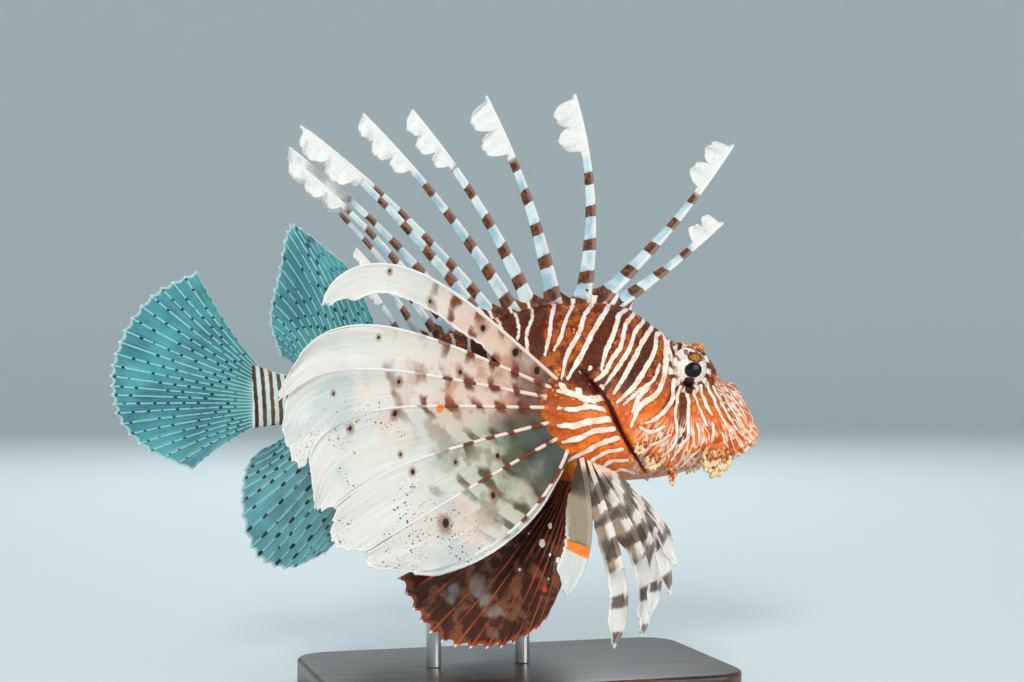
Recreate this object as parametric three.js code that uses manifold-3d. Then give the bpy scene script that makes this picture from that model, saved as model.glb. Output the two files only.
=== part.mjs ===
// A life-size red lionfish held on a plain display stand, as a still museum model.
//
// Millimetres, +Z up, +X towards the snout, +Y towards the fish's left side.
// The origin is the middle of the underside of the stand's base. The fish is drawn in its
// own frame, with z = 0 on a level line through the brow, and is then lifted by LIFT.
//
// The body is one parametric skin: a back line, a belly line and a half width against x,
// with relief (gill cover, pectoral base, brow, orbit, lips) laid on it. Thin cuts part it
// into head, torso and tail stalk. Every fin is a slab: a grid of points on the middle of
// the membrane, thickened to both faces, with its rays raised as ridges in the same surface.

import * as THREE from "three";
import { mergeVertices } from "three/addons/utils/BufferGeometryUtils.js";
import Module from "manifold-3d";

const wasm = await Module();
wasm.setup();

// Driving dimensions

const LIFT = 148; // floor to the fish's own z = 0
const GAP = 0.3; // clearance that touching nodes keep
const SNOUT_X = 112; // tip of the closed mouth
const TAIL_BASE_X = -113; // end of the flesh, where the caudal rays start
const SNOUT_TIP_Z = -41.5;
const SNOUT_ROUNDING = 9; // length over which the snout closes to its tip
const STALK_CUT_X = -60; // torso ends and tail stalk begins
const MEMBRANE = 0.6; // thickness of fin skin between rays
const RAY_BASE = 1.9; // thickness of a ray at its root
const RAY_TIP = 0.8; // thickness of a ray at its tip
const ROOT_SINK = 3; // how far a fin is drawn into the flesh before it is trimmed
const TRIM = 0.38; // clearance a fin is trimmed to, measured on the grown skin

const EYE = { x: 74.6, y: 10.9, z: -11.7, radius: 8.7, depth: 6.6 };
const GILL = { topX: 26, topZ: -16, slope: 0.68, lowZ: -56 }; // line of the gill opening
const NAPE_SLOPE = 0.5; // lean of the head's edge above the gill opening
const BASE = { length: 176, width: 104, height: 10, corner: 16 };
const ROD = { radius: 3.2, frontX: 3, rearX: -36 };

// Small maths

const radians = THREE.MathUtils.degToRad;
const mix = THREE.MathUtils.lerp;
const ease = (x, from, to) => THREE.MathUtils.smoothstep(x, from, to);
const hill = (x, centre, width) => Math.exp(-(((x - centre) / width) ** 2));
const signedPower = (v, power) => Math.sign(v) * Math.abs(v) ** power;

// A smooth curve through [x, value] pairs that never overshoots them.
function through(points) {
  const n = points.length;
  const slope = points.slice(1).map(([x, y], i) => (y - points[i][1]) / (x - points[i][0]));
  const tangent = points.map((_, i) => {
    if (i === 0) return slope[0];
    if (i === n - 1) return slope[n - 2];
    const [a, b] = [slope[i - 1], slope[i]];
    return a * b <= 0 ? 0 : (2 * a * b) / (a + b);
  });
  return (x) => {
    if (x <= points[0][0]) return points[0][1];
    if (x >= points[n - 1][0]) return points[n - 1][1];
    const i = points.findIndex(([px]) => px > x) - 1;
    const [x0, y0] = points[i];
    const [x1, y1] = points[i + 1];
    const h = x1 - x0;
    const t = (x - x0) / h;
    const [t2, t3] = [t * t, t * t * t];
    return (
      y0 * (2 * t3 - 3 * t2 + 1) +
      h * tangent[i] * (t3 - 2 * t2 + t) +
      y1 * (3 * t2 - 2 * t3) +
      h * tangent[i + 1] * (t3 - t2)
    );
  };
}

// The body's lines, against x

const backLine = through([
  [-113, -9.5], [-98, -14], [-75, -10], [-50, -3.5], [-25, 4.5], [0, 12.5], [20, 16.3],
  [38, 16.5], [50, 14.5], [58, 9.8], [66, 4.2], [72, 0], [80, -2.5], [86, -5.2],
  [89.5, -9.6], [92, -16], [95, -17.3], [99, -18.6], [104, -24.5], [109, -31.5],
  [112, -36],
]);
const bellyLine = through([
  [-113, -36], [-98, -34.6], [-75, -40.5], [-50, -48], [-25, -55.5], [0, -60.5],
  [20, -62.5], [45, -61], [62, -60], [74, -58], [86, -55], [98, -52], [106, -49.5],
  [112, -47],
]);
const halfWidth = through([
  [-113, 2.6], [-98, 4.6], [-75, 8.5], [-50, 13], [-25, 17.5], [0, 20.5], [22, 21.8],
  [40, 21.5], [55, 19.5], [68, 16.8], [80, 14.6], [90, 12.4], [98, 11], [104, 9.8],
  [112, 8.5],
]);
const widestLine = through([
  [-113, -23], [-75, -24], [-25, -23], [10, -24], [40, -29], [65, -33], [85, -36],
  [100, -39], [112, -41.5],
]);

// How much of its full section the snout still has at x: 1, then down to 0 at the tip.
function snoutClosing(x) {
  const t = (x - (SNOUT_X - SNOUT_ROUNDING)) / SNOUT_ROUNDING;
  return t <= 0 ? 1 : Math.sqrt(Math.max(0, 1 - t * t));
}

const mouthLine = (x) => SNOUT_TIP_Z - (SNOUT_X - x) * 0.56;
const gillLineX = (z) => GILL.topX + GILL.slope * (GILL.topZ - z);

// Relief on the skin, in millimetres outwards, at a side-view place (x, z).
function relief(x, z, sideways) {
  const gillHeight = ease(z, GILL.lowZ - 2, GILL.lowZ + 6) * (1 - ease(z, GILL.topZ, GILL.topZ + 10));
  const ahead = (x - gillLineX(z)) / Math.hypot(1, GILL.slope);
  const gillCover = 1.7 * ease(ahead, 0.2, 2) * (1 - ease(ahead, 8, 28)) * gillHeight;
  const gillGroove = -1.3 * hill(ahead, -0.4, 1.3) * gillHeight;
  const finBase = 3.2 * hill(x, 22, 13) * hill(z, -38, 17) * (1 - ease(ahead, -2, 0.5));
  const orbit = Math.hypot(x - EYE.x, z - EYE.z);
  const orbitRim = 2.6 * hill(orbit, 8.6, 3.4);
  const cheekRidge = 1.1 * hill(z, -27 + 0.06 * (x - 60), 2.4) * ease(x, 44, 56) * (1 - ease(x, 90, 96));
  const tearBone = 1.5 * hill(x, 88, 7) * hill(z, -36, 11);
  const lip = Math.abs(z - mouthLine(x));
  const lips = 0.9 * hill(lip, 1.7, 1.3) * ease(x, 96, 101);
  const upperJaw = 0.9 * hill(x, 96, 4) * hill(z, -44, 5);
  return (gillCover + gillGroove + finBase + orbitRim + cheekRidge + tearBone + upperJaw) * sideways + lips;
}

// Brow ridges over the eyes and the hollow between them, in millimetres upwards.
function browRise(x, y) {
  const alongBrow = hill(x, 79, 8.5);
  return (3.6 * hill(Math.abs(y), 9, 3.2) - 1.6 * hill(y, 0, 4.5)) * alongBrow;
}

// A point of the skin at x, at angle around the section, pushed out by grow.
function skinPoint(x, angle, grow) {
  const closing = snoutClosing(x);
  const middle = mix(SNOUT_TIP_Z, widestLine(x), closing);
  const upper = (backLine(x) - widestLine(x)) * closing;
  const lower = (widestLine(x) - bellyLine(x)) * closing;
  const width = halfWidth(x) * closing;
  const [c, s] = [Math.cos(angle), Math.sin(angle)];
  const narrowing = s > 0 ? mix(1.12, 0.86, ease(x, 60, 80)) : 0.92;
  const y = width * signedPower(c, narrowing);
  const z = middle + (s > 0 ? upper : lower) * signedPower(s, 0.95);
  const rise = Math.max(s > 0 ? upper : lower, 1);
  const outward = new THREE.Vector3(0, y / Math.max(width, 1) ** 2, (z - middle) / rise ** 2).normalize();
  const out = relief(x, z, Math.abs(c) ** 0.6) * closing + grow;
  const top = s > 0 ? browRise(x, y) * s * closing : 0;
  return new THREE.Vector3(x, y + outward.y * out, z + outward.z * out + top);
}

// Solids and meshes

function solidOf(geometry) {
  const bare = geometry.index ? geometry.toNonIndexed() : geometry.clone();
  const positions = new THREE.BufferGeometry().setAttribute("position", bare.getAttribute("position"));
  const merged = mergeVertices(positions, 1e-4);
  return new wasm.Manifold(
    new wasm.Mesh({
      numProp: 3,
      vertProperties: merged.attributes.position.array,
      triVerts: new Uint32Array(merged.index.array),
    }),
  );
}

function geometryOf(solid) {
  const mesh = solid.getMesh();
  const positions = new Float32Array(mesh.numVert * 3);
  for (let i = 0; i < mesh.numVert; i++)
    positions.set(mesh.vertProperties.subarray(i * mesh.numProp, i * mesh.numProp + 3), i * 3);
  return new THREE.BufferGeometry()
    .setAttribute("position", new THREE.BufferAttribute(positions, 3))
    .setIndex(new THREE.BufferAttribute(mesh.triVerts, 1));
}

const largestPiece = (solid) =>
  solid.decompose().reduce((a, b) => (b.volume() > a.volume() ? b : a));

function trianglesGeometry(corners) {
  const positions = new Float32Array(corners.length * 3);
  corners.forEach((p, i) => positions.set([p.x, p.y, p.z], i * 3));
  return new THREE.BufferGeometry().setAttribute("position", new THREE.BufferAttribute(positions, 3));
}

// The closed skin of the whole body, pushed out by grow.
function bodySolid(grow = 0) {
  const around = 30;
  const rings = [];
  const trunkSteps = 16;
  const headSteps = 20;
  const headFrom = 40;
  for (let i = 0; i <= trunkSteps; i++)
    rings.push(mix(TAIL_BASE_X - grow, headFrom, i / trunkSteps));
  for (let i = 1; i < headSteps; i++)
    rings.push(mix(headFrom, SNOUT_X - 0.05, Math.sin((i / headSteps) * Math.PI * 0.5)));
  const ring = (x) =>
    Array.from({ length: around }, (_, k) => skinPoint(x, (k / around) * Math.PI * 2, grow));
  const loops = rings.map(ring);
  const tail = new THREE.Vector3(TAIL_BASE_X - grow, 0, -23);
  const snout = new THREE.Vector3(SNOUT_X + grow, 0, SNOUT_TIP_Z);
  const corners = [];
  const next = (k) => (k + 1) % around;
  for (let i = 0; i + 1 < loops.length; i++)
    for (let k = 0; k < around; k++) {
      const [a, b, c, d] = [loops[i][k], loops[i + 1][k], loops[i + 1][next(k)], loops[i][next(k)]];
      corners.push(a, c, b, a, d, c);
    }
  const last = loops[loops.length - 1];
  for (let k = 0; k < around; k++) {
    corners.push(tail, loops[0][next(k)], loops[0][k]);
    corners.push(snout, last[k], last[next(k)]);
  }
  return solidOf(trianglesGeometry(corners));
}

// A slab: points[column][row] on its middle, thickness[column][row], and keep(column, row)
// for each cell between four points. Both faces are split into triangles alike.
function slabSolid(points, thickness, keep = () => true) {
  const columns = points.length;
  const rows = points[0].length;
  const normalAt = (c, r) => {
    const across = new THREE.Vector3().subVectors(
      points[Math.min(c + 1, columns - 1)][r],
      points[Math.max(c - 1, 0)][r],
    );
    const along = new THREE.Vector3().subVectors(
      points[c][Math.min(r + 1, rows - 1)],
      points[c][Math.max(r - 1, 0)],
    );
    return across.cross(along).normalize();
  };
  const face = (side) =>
    points.map((column, c) =>
      column.map((p, r) => p.clone().addScaledVector(normalAt(c, r), (side * thickness[c][r]) / 2)),
    );
  const [front, back] = [face(1), face(-1)];
  const inside = (c, r) => c >= 0 && r >= 0 && c < columns - 1 && r < rows - 1 && keep(c, r);
  const corners = [];
  const wall = (c0, r0, c1, r1) => {
    corners.push(front[c0][r0], back[c0][r0], back[c1][r1]);
    corners.push(front[c0][r0], back[c1][r1], front[c1][r1]);
  };
  for (let c = 0; c < columns - 1; c++)
    for (let r = 0; r < rows - 1; r++) {
      if (!inside(c, r)) continue;
      corners.push(front[c][r], front[c + 1][r], front[c + 1][r + 1]);
      corners.push(front[c][r], front[c + 1][r + 1], front[c][r + 1]);
      corners.push(back[c][r], back[c + 1][r + 1], back[c + 1][r]);
      corners.push(back[c][r], back[c][r + 1], back[c + 1][r + 1]);
      if (!inside(c, r - 1)) wall(c, r, c + 1, r);
      if (!inside(c + 1, r)) wall(c + 1, r, c + 1, r + 1);
      if (!inside(c, r + 1)) wall(c + 1, r + 1, c, r + 1);
      if (!inside(c - 1, r)) wall(c, r + 1, c, r);
    }
  return solidOf(trianglesGeometry(corners));
}

// A fan fin: rays from root to tip, bowed by bow, with membrane between them.
// Each gap between rays has a ridge's foot at either side, so that the rays stand up.
function fanSolid({ rays, rows, scallop, sway, foot = 0.2 }) {
  const stops = [0, foot, 1 - foot];
  const columns = [];
  rays.slice(0, -1).forEach((ray, i) => stops.forEach((f) => columns.push({ i, f })));
  columns.push({ i: rays.length - 2, f: 1 });
  const points = columns.map(({ i, f }) => {
    const [a, b] = [rays[i], rays[i + 1]];
    const reach = 1 - scallop * 4 * f * (1 - f);
    return Array.from({ length: rows }, (_, r) => {
      const t = (r / (rows - 1)) * reach;
      const p = new THREE.Vector3().lerpVectors(a(t), b(t), f);
      return p.add(sway(p, t));
    });
  });
  const thickness = columns.map(({ f }) =>
    Array.from({ length: rows }, (_, r) =>
      f === 0 || f === 1 ? mix(RAY_BASE, RAY_TIP, r / (rows - 1)) : MEMBRANE,
    ),
  );
  return slabSolid(points, thickness);
}

// Body, cut into head, torso and tail stalk

const wholeBody = bodySolid();
const grownBody = bodySolid(TRIM);
const FAR = 200;

// A block across the whole fish with this outline in the side view.
function sideBlock(outline, halfSpan = FAR) {
  const shape = new THREE.Shape(outline.map(([x, z]) => new THREE.Vector2(x, z)));
  const block = new THREE.ExtrudeGeometry(shape, { depth: halfSpan * 2, bevelEnabled: false });
  block.rotateX(Math.PI / 2);
  block.translate(0, halfSpan, 0);
  return solidOf(block);
}

// Everything ahead of the gill opening and of the nape, its edge moved back by shift.
function headBlock(shift) {
  const x = GILL.topX - shift;
  const drop = GILL.topZ + FAR;
  const rise = FAR - GILL.topZ;
  return sideBlock([
    [x, GILL.topZ],
    [x + GILL.slope * drop, GILL.topZ - drop],
    [FAR * 2, GILL.topZ - drop],
    [FAR * 2, GILL.topZ + rise],
    [x + NAPE_SLOPE * rise, GILL.topZ + rise],
  ]);
}

// A fish's eye is a flattened ball.
const eyeball = (side, grow = 0) => {
  const ball = new THREE.SphereGeometry(1, 16, 10);
  ball.rotateX(Math.PI / 2);
  ball.scale(EYE.radius + grow, EYE.depth + grow, EYE.radius + grow);
  ball.translate(EYE.x, side * EYE.y, EYE.z);
  return ball;
};

// The closed mouth is a thin slit right across the snout, from its tip to the jaw's corner.
function mouthSlit() {
  const corner = 97;
  const opening = 0.7;
  const tip = SNOUT_X + 4;
  return sideBlock([
    [corner, mouthLine(corner) - opening * 0.3],
    [tip, mouthLine(tip) - opening],
    [tip, mouthLine(tip)],
    [corner, mouthLine(corner) + opening * 0.3],
  ]);
}

function nostril(side, x, z, y, radius) {
  const pit = new THREE.SphereGeometry(radius, 8, 5);
  pit.translate(x, side * y, z);
  return solidOf(pit);
}

// A frilled tab of skin: a small slab that widens from its root to a lobed, wavy margin.
function skinFlap({ root, heading, length, width, lobes, side }) {
  const across = lobes * 2;
  const rows = 3;
  const [dx, dz] = [Math.cos(radians(heading)), Math.sin(radians(heading))];
  const points = [];
  const thickness = [];
  for (let c = 0; c <= across; c++) {
    const f = c / across - 0.5;
    const lobe = 1 - 0.22 * (c % 2);
    points.push([]);
    thickness.push([]);
    for (let r = 0; r < rows; r++) {
      const t = r / (rows - 1);
      const spread = width * f * mix(0.45, 1, Math.sin((t * Math.PI) / 2));
      const reach = length * (t * lobe * (1 - 0.9 * f * f) - 0.18);
      const frill = t * 1.3 * (c % 2 ? 1 : -1) + t * 1.5;
      points[c].push(
        new THREE.Vector3(
          root[0] + dx * reach - dz * spread,
          side * (root[1] + frill),
          root[2] + dz * reach + dx * spread,
        ),
      );
      thickness[c].push(mix(2, 1, t));
    }
  }
  return slabSolid(points, thickness);
}

const FLAPS = [
  { root: [86.8, 13.2, -47], heading: -93, length: 15.5, width: 15, lobes: 5 },
  { root: [56.6, 18, -49], heading: -112, length: 8.5, width: 7.5, lobes: 3 },
  { root: [51, 19.6, -43], heading: -120, length: 7.5, width: 6, lobes: 3 },
  { root: [66, 14.5, -54.5], heading: -92, length: 10, width: 3.4, lobes: 2 },
  { root: [79.5, 7.6, -4.2], heading: 78, length: 4.6, width: 7, lobes: 2 },
];

function headSolid() {
  let head = wholeBody.intersect(headBlock(0));
  for (const side of [-1, 1])
    for (const flap of FLAPS) head = head.add(skinFlap({ ...flap, side }));
  head = head.subtract(mouthSlit());
  for (const side of [-1, 1]) {
    head = head.subtract(solidOf(eyeball(side, GAP)));
    head = head.subtract(nostril(side, 90.5, -21, 11.2, 1.2));
    head = head.subtract(nostril(side, 95, -23, 10.4, 1));
  }
  return largestPiece(head);
}

const tailBlock = (x) => sideBlock([[x, -FAR], [x, FAR], [-FAR * 2, FAR], [-FAR * 2, -FAR]]);

function torsoSolid() {
  return largestPiece(wholeBody.subtract(headBlock(GAP * 1.25)).subtract(tailBlock(STALK_CUT_X)));
}

function tailStalkSolid() {
  return largestPiece(wholeBody.intersect(tailBlock(STALK_CUT_X - GAP)));
}

// Trims what a fin has inside the flesh, so that it meets the skin with the usual gap.
const trimmed = (fin, flesh = grownBody) => largestPiece(fin.subtract(flesh));

// Spiny dorsal fin: thirteen spines, each with a trailing vane, and a low web along the back

// [root x, first heading, bend, length, vane width, flag width, lean], headings in degrees
// from +X towards +Z, bend over the whole length, lean to the fish's left.
const SPINES = [
  [49.5, 35, 6, 61, 5, 5, 3],
  [41.5, 44, 13, 91, 5.4, 6, -3],
  [34, 80, 27, 92, 6, 8, 2],
  [21.3, 104, 15, 95, 6, 7, -2],
  [10.5, 115, 16, 100, 5.4, 5.4, 3],
  [2.6, 124, 13, 108, 5, 5.6, -3],
  [-6, 130, 13, 114, 4.4, 5.4, 4],
  [-11.5, 129, 14, 115, 4.4, 5.4, -4],
  [-18.6, 129, 14, 108, 4, 4.6, 4],
  [-25.5, 128, 15, 102, 3.8, 4, -4],
  [-32, 124, 16, 97, 3, 2.4, 3],
  [-39, 121, 14, 50, 3.2, 2.2, -2],
  [-46.5, 117, 12, 32, 3.2, 1.4, 0],
];
const WEB_HEIGHT = 4.5;
const WEB_THICKNESS = 1;

// The leading edge of a spine at a distance s from its sunken root.
function spineLine([x, heading, bend, length, , , lean]) {
  const turn = (s) => radians(heading + bend * Math.max(0, (s - ROOT_SINK) / length));
  return (s) => {
    const steps = 24;
    const start = radians(heading);
    const p = new THREE.Vector3(x, 0, backLine(x));
    p.x -= Math.cos(start) * ROOT_SINK;
    p.z -= Math.sin(start) * ROOT_SINK;
    for (let i = 0; i < steps; i++) {
      const a = turn(((i + 0.5) / steps) * s);
      p.x += (Math.cos(a) * s) / steps;
      p.z += (Math.sin(a) * s) / steps;
    }
    p.y = Math.sin(radians(lean)) * s;
    return { p, angle: turn(s) };
  };
}

// Width of the vane behind a spine: a strap that ends in two or three lobes near the tip.
function vaneWidth(t, vane, flag) {
  const strap = vane * mix(1.15, 0.62, ease(t, 0, 0.72)) * (1 - ease(t, 0.93, 1) * 0.75);
  const lobes = flag * (0.9 * hill(t, 0.77, 0.055) + hill(t, 0.9, 0.06));
  return strap + lobes;
}

// One spine: a round rod along its front and a thin vane behind.
function spineSolid(spine) {
  const [, , , length, vane, flag] = spine;
  const rows = 9;
  const line = spineLine(spine);
  const points = [[], [], [], []];
  const thickness = [[], [], [], []];
  for (let r = 0; r < rows; r++) {
    const s = (r / (rows - 1)) * (length + ROOT_SINK);
    const t = s / (length + ROOT_SINK);
    const { p, angle } = line(s);
    const behind = new THREE.Vector3(-Math.sin(angle), 0, Math.cos(angle));
    const rod = mix(2.3, 0.9, t);
    const width = Math.max(vaneWidth(t, vane, flag), rod * 1.3);
    [0, rod * 0.5, rod, width].forEach((d, c) => {
      points[c].push(p.clone().addScaledVector(behind, d));
      thickness[c].push([rod * 0.45, rod, MEMBRANE, MEMBRANE][c]);
    });
  }
  return slabSolid(points, thickness);
}

// The low web of skin that joins the spines' feet along the back.
function backWeb() {
  const first = SPINES[0][0];
  const last = SPINES[SPINES.length - 1][0];
  const steps = 22;
  const points = Array.from({ length: steps + 1 }, (_, c) => {
    const x = mix(first + 3, last - 3, c / steps);
    const height = WEB_HEIGHT * Math.min(1, c / 2, (steps - c) / 2);
    return [-ROOT_SINK, Math.max(height, 0.6)].map((d) => new THREE.Vector3(x, 0, backLine(x) + d));
  });
  const thickness = points.map(() => [WEB_THICKNESS * 1.6, WEB_THICKNESS * 0.8]);
  return slabSolid(points, thickness);
}

function spinyDorsalSolid() {
  let fin = backWeb();
  for (const spine of SPINES) fin = fin.add(spineSolid(spine));
  return trimmed(fin);
}

// Straight or bowed ray from one side-view point to another, bowed sideways of its line.
function bowedRay([x0, z0], [x1, z1], bow) {
  return (t) => {
    const lift = bow * 4 * t * (1 - t);
    const length = Math.hypot(x1 - x0, z1 - z0);
    return new THREE.Vector3(
      mix(x0, x1, t) - ((z1 - z0) / length) * lift,
      0,
      mix(z0, z1, t) + ((x1 - x0) / length) * lift,
    );
  };
}

const still = () => new THREE.Vector3();

// Soft dorsal fin: tips run up the front edge to the peak, then down the rear edge.
const softDorsalTip = [
  through([[0, -76], [3, -96.8], [6, -103], [8, -106], [10, -101.5]]),
  through([[0, 34], [3, 49.3], [6, 27], [8, 10], [10, -6]]),
];

function softDorsalSolid() {
  const count = 11;
  const rays = Array.from({ length: count }, (_, i) => {
    const x = mix(-58, -95, i / (count - 1));
    return bowedRay([x, backLine(x) - ROOT_SINK], softDorsalTip.map((f) => f(i)), -3);
  });
  return trimmed(fanSolid({ rays, rows: 6, scallop: 0.03, sway: still }));
}

// Anal fin: three short spines lead into seven longer soft rays.
const analTip = [
  through([[0, -83], [2, -98], [4, -112], [6, -118], [8, -116], [9, -110]]),
  through([[0, -89], [2, -95], [4, -89], [6, -68], [8, -52], [9, -45]]),
];

function analSolid() {
  const count = 10;
  const rays = Array.from({ length: count }, (_, i) => {
    const x = mix(-51, -93, i / (count - 1));
    return bowedRay([x, bellyLine(x) + ROOT_SINK], analTip.map((f) => f(i)), 2);
  });
  return trimmed(fanSolid({ rays, rows: 6, scallop: 0.04, sway: still }));
}

// Caudal fin: thirteen rays fanned from the end of the tail stalk.
const caudalTip = [
  through([[0, -136], [2, -153], [4, -166], [6, -171], [8, -169], [10, -158], [12, -138]]),
  through([[0, 29], [2, 20], [4, 3], [6, -14], [8, -28], [10, -43], [12, -53]]),
];

function caudalSolid() {
  const count = 13;
  const rays = Array.from({ length: count }, (_, i) => {
    const z = mix(-11, -34.5, i / (count - 1));
    return bowedRay([TAIL_BASE_X + ROOT_SINK, z], caudalTip.map((f) => f(i)), 1.5 - 0.25 * i);
  });
  return trimmed(fanSolid({ rays, rows: 6, scallop: 0.035, sway: still }), bodySolid(TRIM * 1.5));
}

// Pelvic fin: a spine and five rays, splayed a little from the keel of the belly.
const pelvicTip = [
  through([[0, 13], [1, 2], [2, -15], [3, -35], [4, -50], [5, -59]]),
  through([[0, -105], [1, -120.5], [2, -126.5], [3, -125], [4, -114], [5, -96]]),
];
const PELVIC = { x: 23, z: -58, y: 8, splay: 0.27 };

function pelvicSolid(side) {
  // The far fin is held a little further forward, and less spread, than the near one.
  const turn = radians(side > 0 ? 11 : 0);
  const size = side > 0 ? 0.86 : 1;
  const rays = Array.from({ length: 6 }, (_, i) => {
    const root = [PELVIC.x + 3 - i * 1.6, PELVIC.z + i * 0.2];
    const [tx, tz] = pelvicTip.map((f) => f(i));
    const [dx, dz] = [tx - PELVIC.x, tz - PELVIC.z];
    const tip = [
      PELVIC.x + (dx * Math.cos(turn) - dz * Math.sin(turn)) * size,
      PELVIC.z + (dx * Math.sin(turn) + dz * Math.cos(turn)) * size,
    ];
    return bowedRay(root, tip, 2);
  });
  const sway = (p) => {
    const away = Math.hypot(p.x - PELVIC.x, p.z - PELVIC.z);
    return new THREE.Vector3(0, side * (PELVIC.y + away * PELVIC.splay), 0);
  };
  return trimmed(fanSolid({ rays, rows: 6, scallop: 0.04, sway, foot: 0.14 }));
}

// Pectoral fins: fourteen rays each, the upper seven in a fan, the lower seven as free
// curling rays. Headings are seen from the side: 0 points back, positive up.

// [heading, bend, curl power, length, splay, vane width, share joined to the next ray]
const PECTORAL_RAYS = [
  [38.2, -120, 4, 128, 12, 12, 0.2],
  [21.3, -80, 4.5, 122, 13, 15, 0.93],
  [10.4, -64, 5, 124, 14, 17, 0.93],
  [2, -105, 5.5, 122, 15, 17, 0.95],
  [-11, -32, 3.5, 107, 17, 17, 1],
  [-22, -6, 1, 101, 20, 17, 1],
  [-60, 58, 1, 90, 24, 3, 0],
  [-91, 58, 2.2, 58, 29, 11, 0],
  [-99, 62, 4, 73, 33, 7.5, 0.4],
  [-112, 74, 3, 68, 37, 6.5, 0.7],
  [-122, 84, 2.2, 60, 41, 5.5, 0.6],
  [-126, 62, 2, 50, 45, 5, 0.6],
  [-128, 42, 2, 38, 49, 4, 0.5],
  [-129, 24, 2, 28, 52, 3, 0.5],
];
const UPPER_RAYS = 7;
const LEFT_HOLD = { droop: -15, splay: 30, lowerDroop: 18, lowerSplay: 8 }; // the far fin's pose

// Roots lie on an arc round the rear edge of the fleshy fin base.
const pectoralRootX = through([[0, 14], [3, 10.5], [6, 17], [7, 23.5], [13, 37]]);
const pectoralRootZ = through([[0, -17.5], [3, -28], [6, -46], [7, -49.5], [13, -55.5]]);

function pectoralRay(i, side) {
  const [heading, bend, power, length, splay] = PECTORAL_RAYS[i];
  const upper = i < UPPER_RAYS;
  const droop = side > 0 ? (upper ? LEFT_HOLD.droop : LEFT_HOLD.lowerDroop) : 0;
  const wide = splay + (side > 0 ? (upper ? LEFT_HOLD.splay : LEFT_HOLD.lowerSplay) : 0);
  const steps = 30;
  const step = length / Math.cos(radians(splay)) / steps;
  const x = pectoralRootX(i);
  const places = [new THREE.Vector3(x, side * (halfWidth(x) - 1.5), pectoralRootZ(i))];
  for (let k = 0; k < steps; k++) {
    const t = (k + 0.5) / steps;
    const a = radians(heading + droop + bend * t ** power);
    const aside = radians(wide * (1.1 - 0.35 * t));
    const back = Math.cos(aside) * step;
    const move = new THREE.Vector3(-Math.cos(a) * back, side * Math.sin(aside) * step, Math.sin(a) * back);
    places.push(places[k].clone().add(move));
  }
  return (t) => {
    const at = THREE.MathUtils.clamp(t, 0, 1) * steps;
    const k = Math.min(Math.floor(at), steps - 1);
    return new THREE.Vector3().lerpVectors(places[k], places[k + 1], at - k);
  };
}

// One ray with its vane, which points to ray i + towards and joins it near the roots.
function pectoralStrip(i, side, towards, hasNext) {
  const rows = i < UPPER_RAYS ? 9 : 7;
  const [, , , , , vane] = PECTORAL_RAYS[i];
  const joined = hasNext ? PECTORAL_RAYS[towards > 0 ? i : i + towards][6] : 0;
  const ray = pectoralRay(i, side);
  const beyond = hasNext ? pectoralRay(i + towards, side) : null;
  const points = [[], [], [], [], []];
  const thickness = [[], [], [], [], []];
  const places = Array.from({ length: rows }, (_, r) => (r / (rows - 1)) ** 0.85);
  for (const t of places) {
    const p = ray(t);
    const along = ray(Math.min(t + 0.03, 1)).sub(ray(Math.max(t - 0.03, 0))).normalize();
    const square = new THREE.Vector3(0, towards, 0).cross(along).negate().normalize();
    const rod = mix(RAY_BASE + 0.5, RAY_TIP, t);
    const full = vane * Math.sin(Math.PI * Math.min(0.5, 0.04 + t)) * (1 - ease(t, 0.88, 1) * 0.7);
    const link = beyond ? beyond(t).sub(p) : square.clone().multiplyScalar(full);
    const isLinked = beyond && (t <= joined || link.length() * 0.86 < full);
    const reach = isLinked ? link.clone().multiplyScalar(0.86) : square.clone().multiplyScalar(full);
    reach.y -= side * Math.min(reach.length() * 0.12, 2);
    const unit = reach.clone().normalize();
    const width = Math.max(reach.length(), rod * 1.2);
    [-0.45 * rod, 0, 0.45 * rod, width].forEach((d, c) => {
      points[c].push(p.clone().addScaledVector(unit, d));
      thickness[c].push(c === 1 ? rod : c === 3 ? MEMBRANE : mix(MEMBRANE, rod, 0.3));
    });
    points[4].push(p.clone().add(link));
    thickness[4].push(MEMBRANE);
  }
  const joinedRows = places.filter((t) => t > 0 && t <= joined).length;
  return slabSolid(points, thickness, (c, r) => c < 3 || r < joinedRows);
}

// A group of rays fused with one another.
function pectoralSolid(side, first, last, towards) {
  const end = towards > 0 ? last : first;
  let fin = pectoralStrip(end, side, towards, false);
  for (let i = first; i <= last; i++)
    if (i !== end) fin = fin.add(pectoralStrip(i, side, towards, true));
  return trimmed(fin);
}

// Stand: a rounded base and two short rods under the belly

function baseGeometry() {
  const { length, width, height, corner } = BASE;
  const [hx, hy] = [length / 2 - corner, width / 2 - corner];
  const outline = new THREE.Shape();
  outline.absarc(hx, hy, corner, 0, Math.PI / 2);
  outline.absarc(-hx, hy, corner, Math.PI / 2, Math.PI);
  outline.absarc(-hx, -hy, corner, Math.PI, Math.PI * 1.5);
  outline.absarc(hx, -hy, corner, Math.PI * 1.5, Math.PI * 2);
  return new THREE.ExtrudeGeometry(outline, { depth: height, bevelEnabled: false, curveSegments: 5 });
}

function rodSolid(x) {
  const foot = BASE.height + GAP - LIFT;
  const top = bellyLine(x) + 4;
  const rod = new THREE.CylinderGeometry(ROD.radius, ROD.radius, top - foot, 16);
  rod.rotateX(Math.PI / 2);
  rod.translate(x, 0, (top + foot) / 2);
  return trimmed(solidOf(rod));
}

// Finishes and nodes

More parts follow.
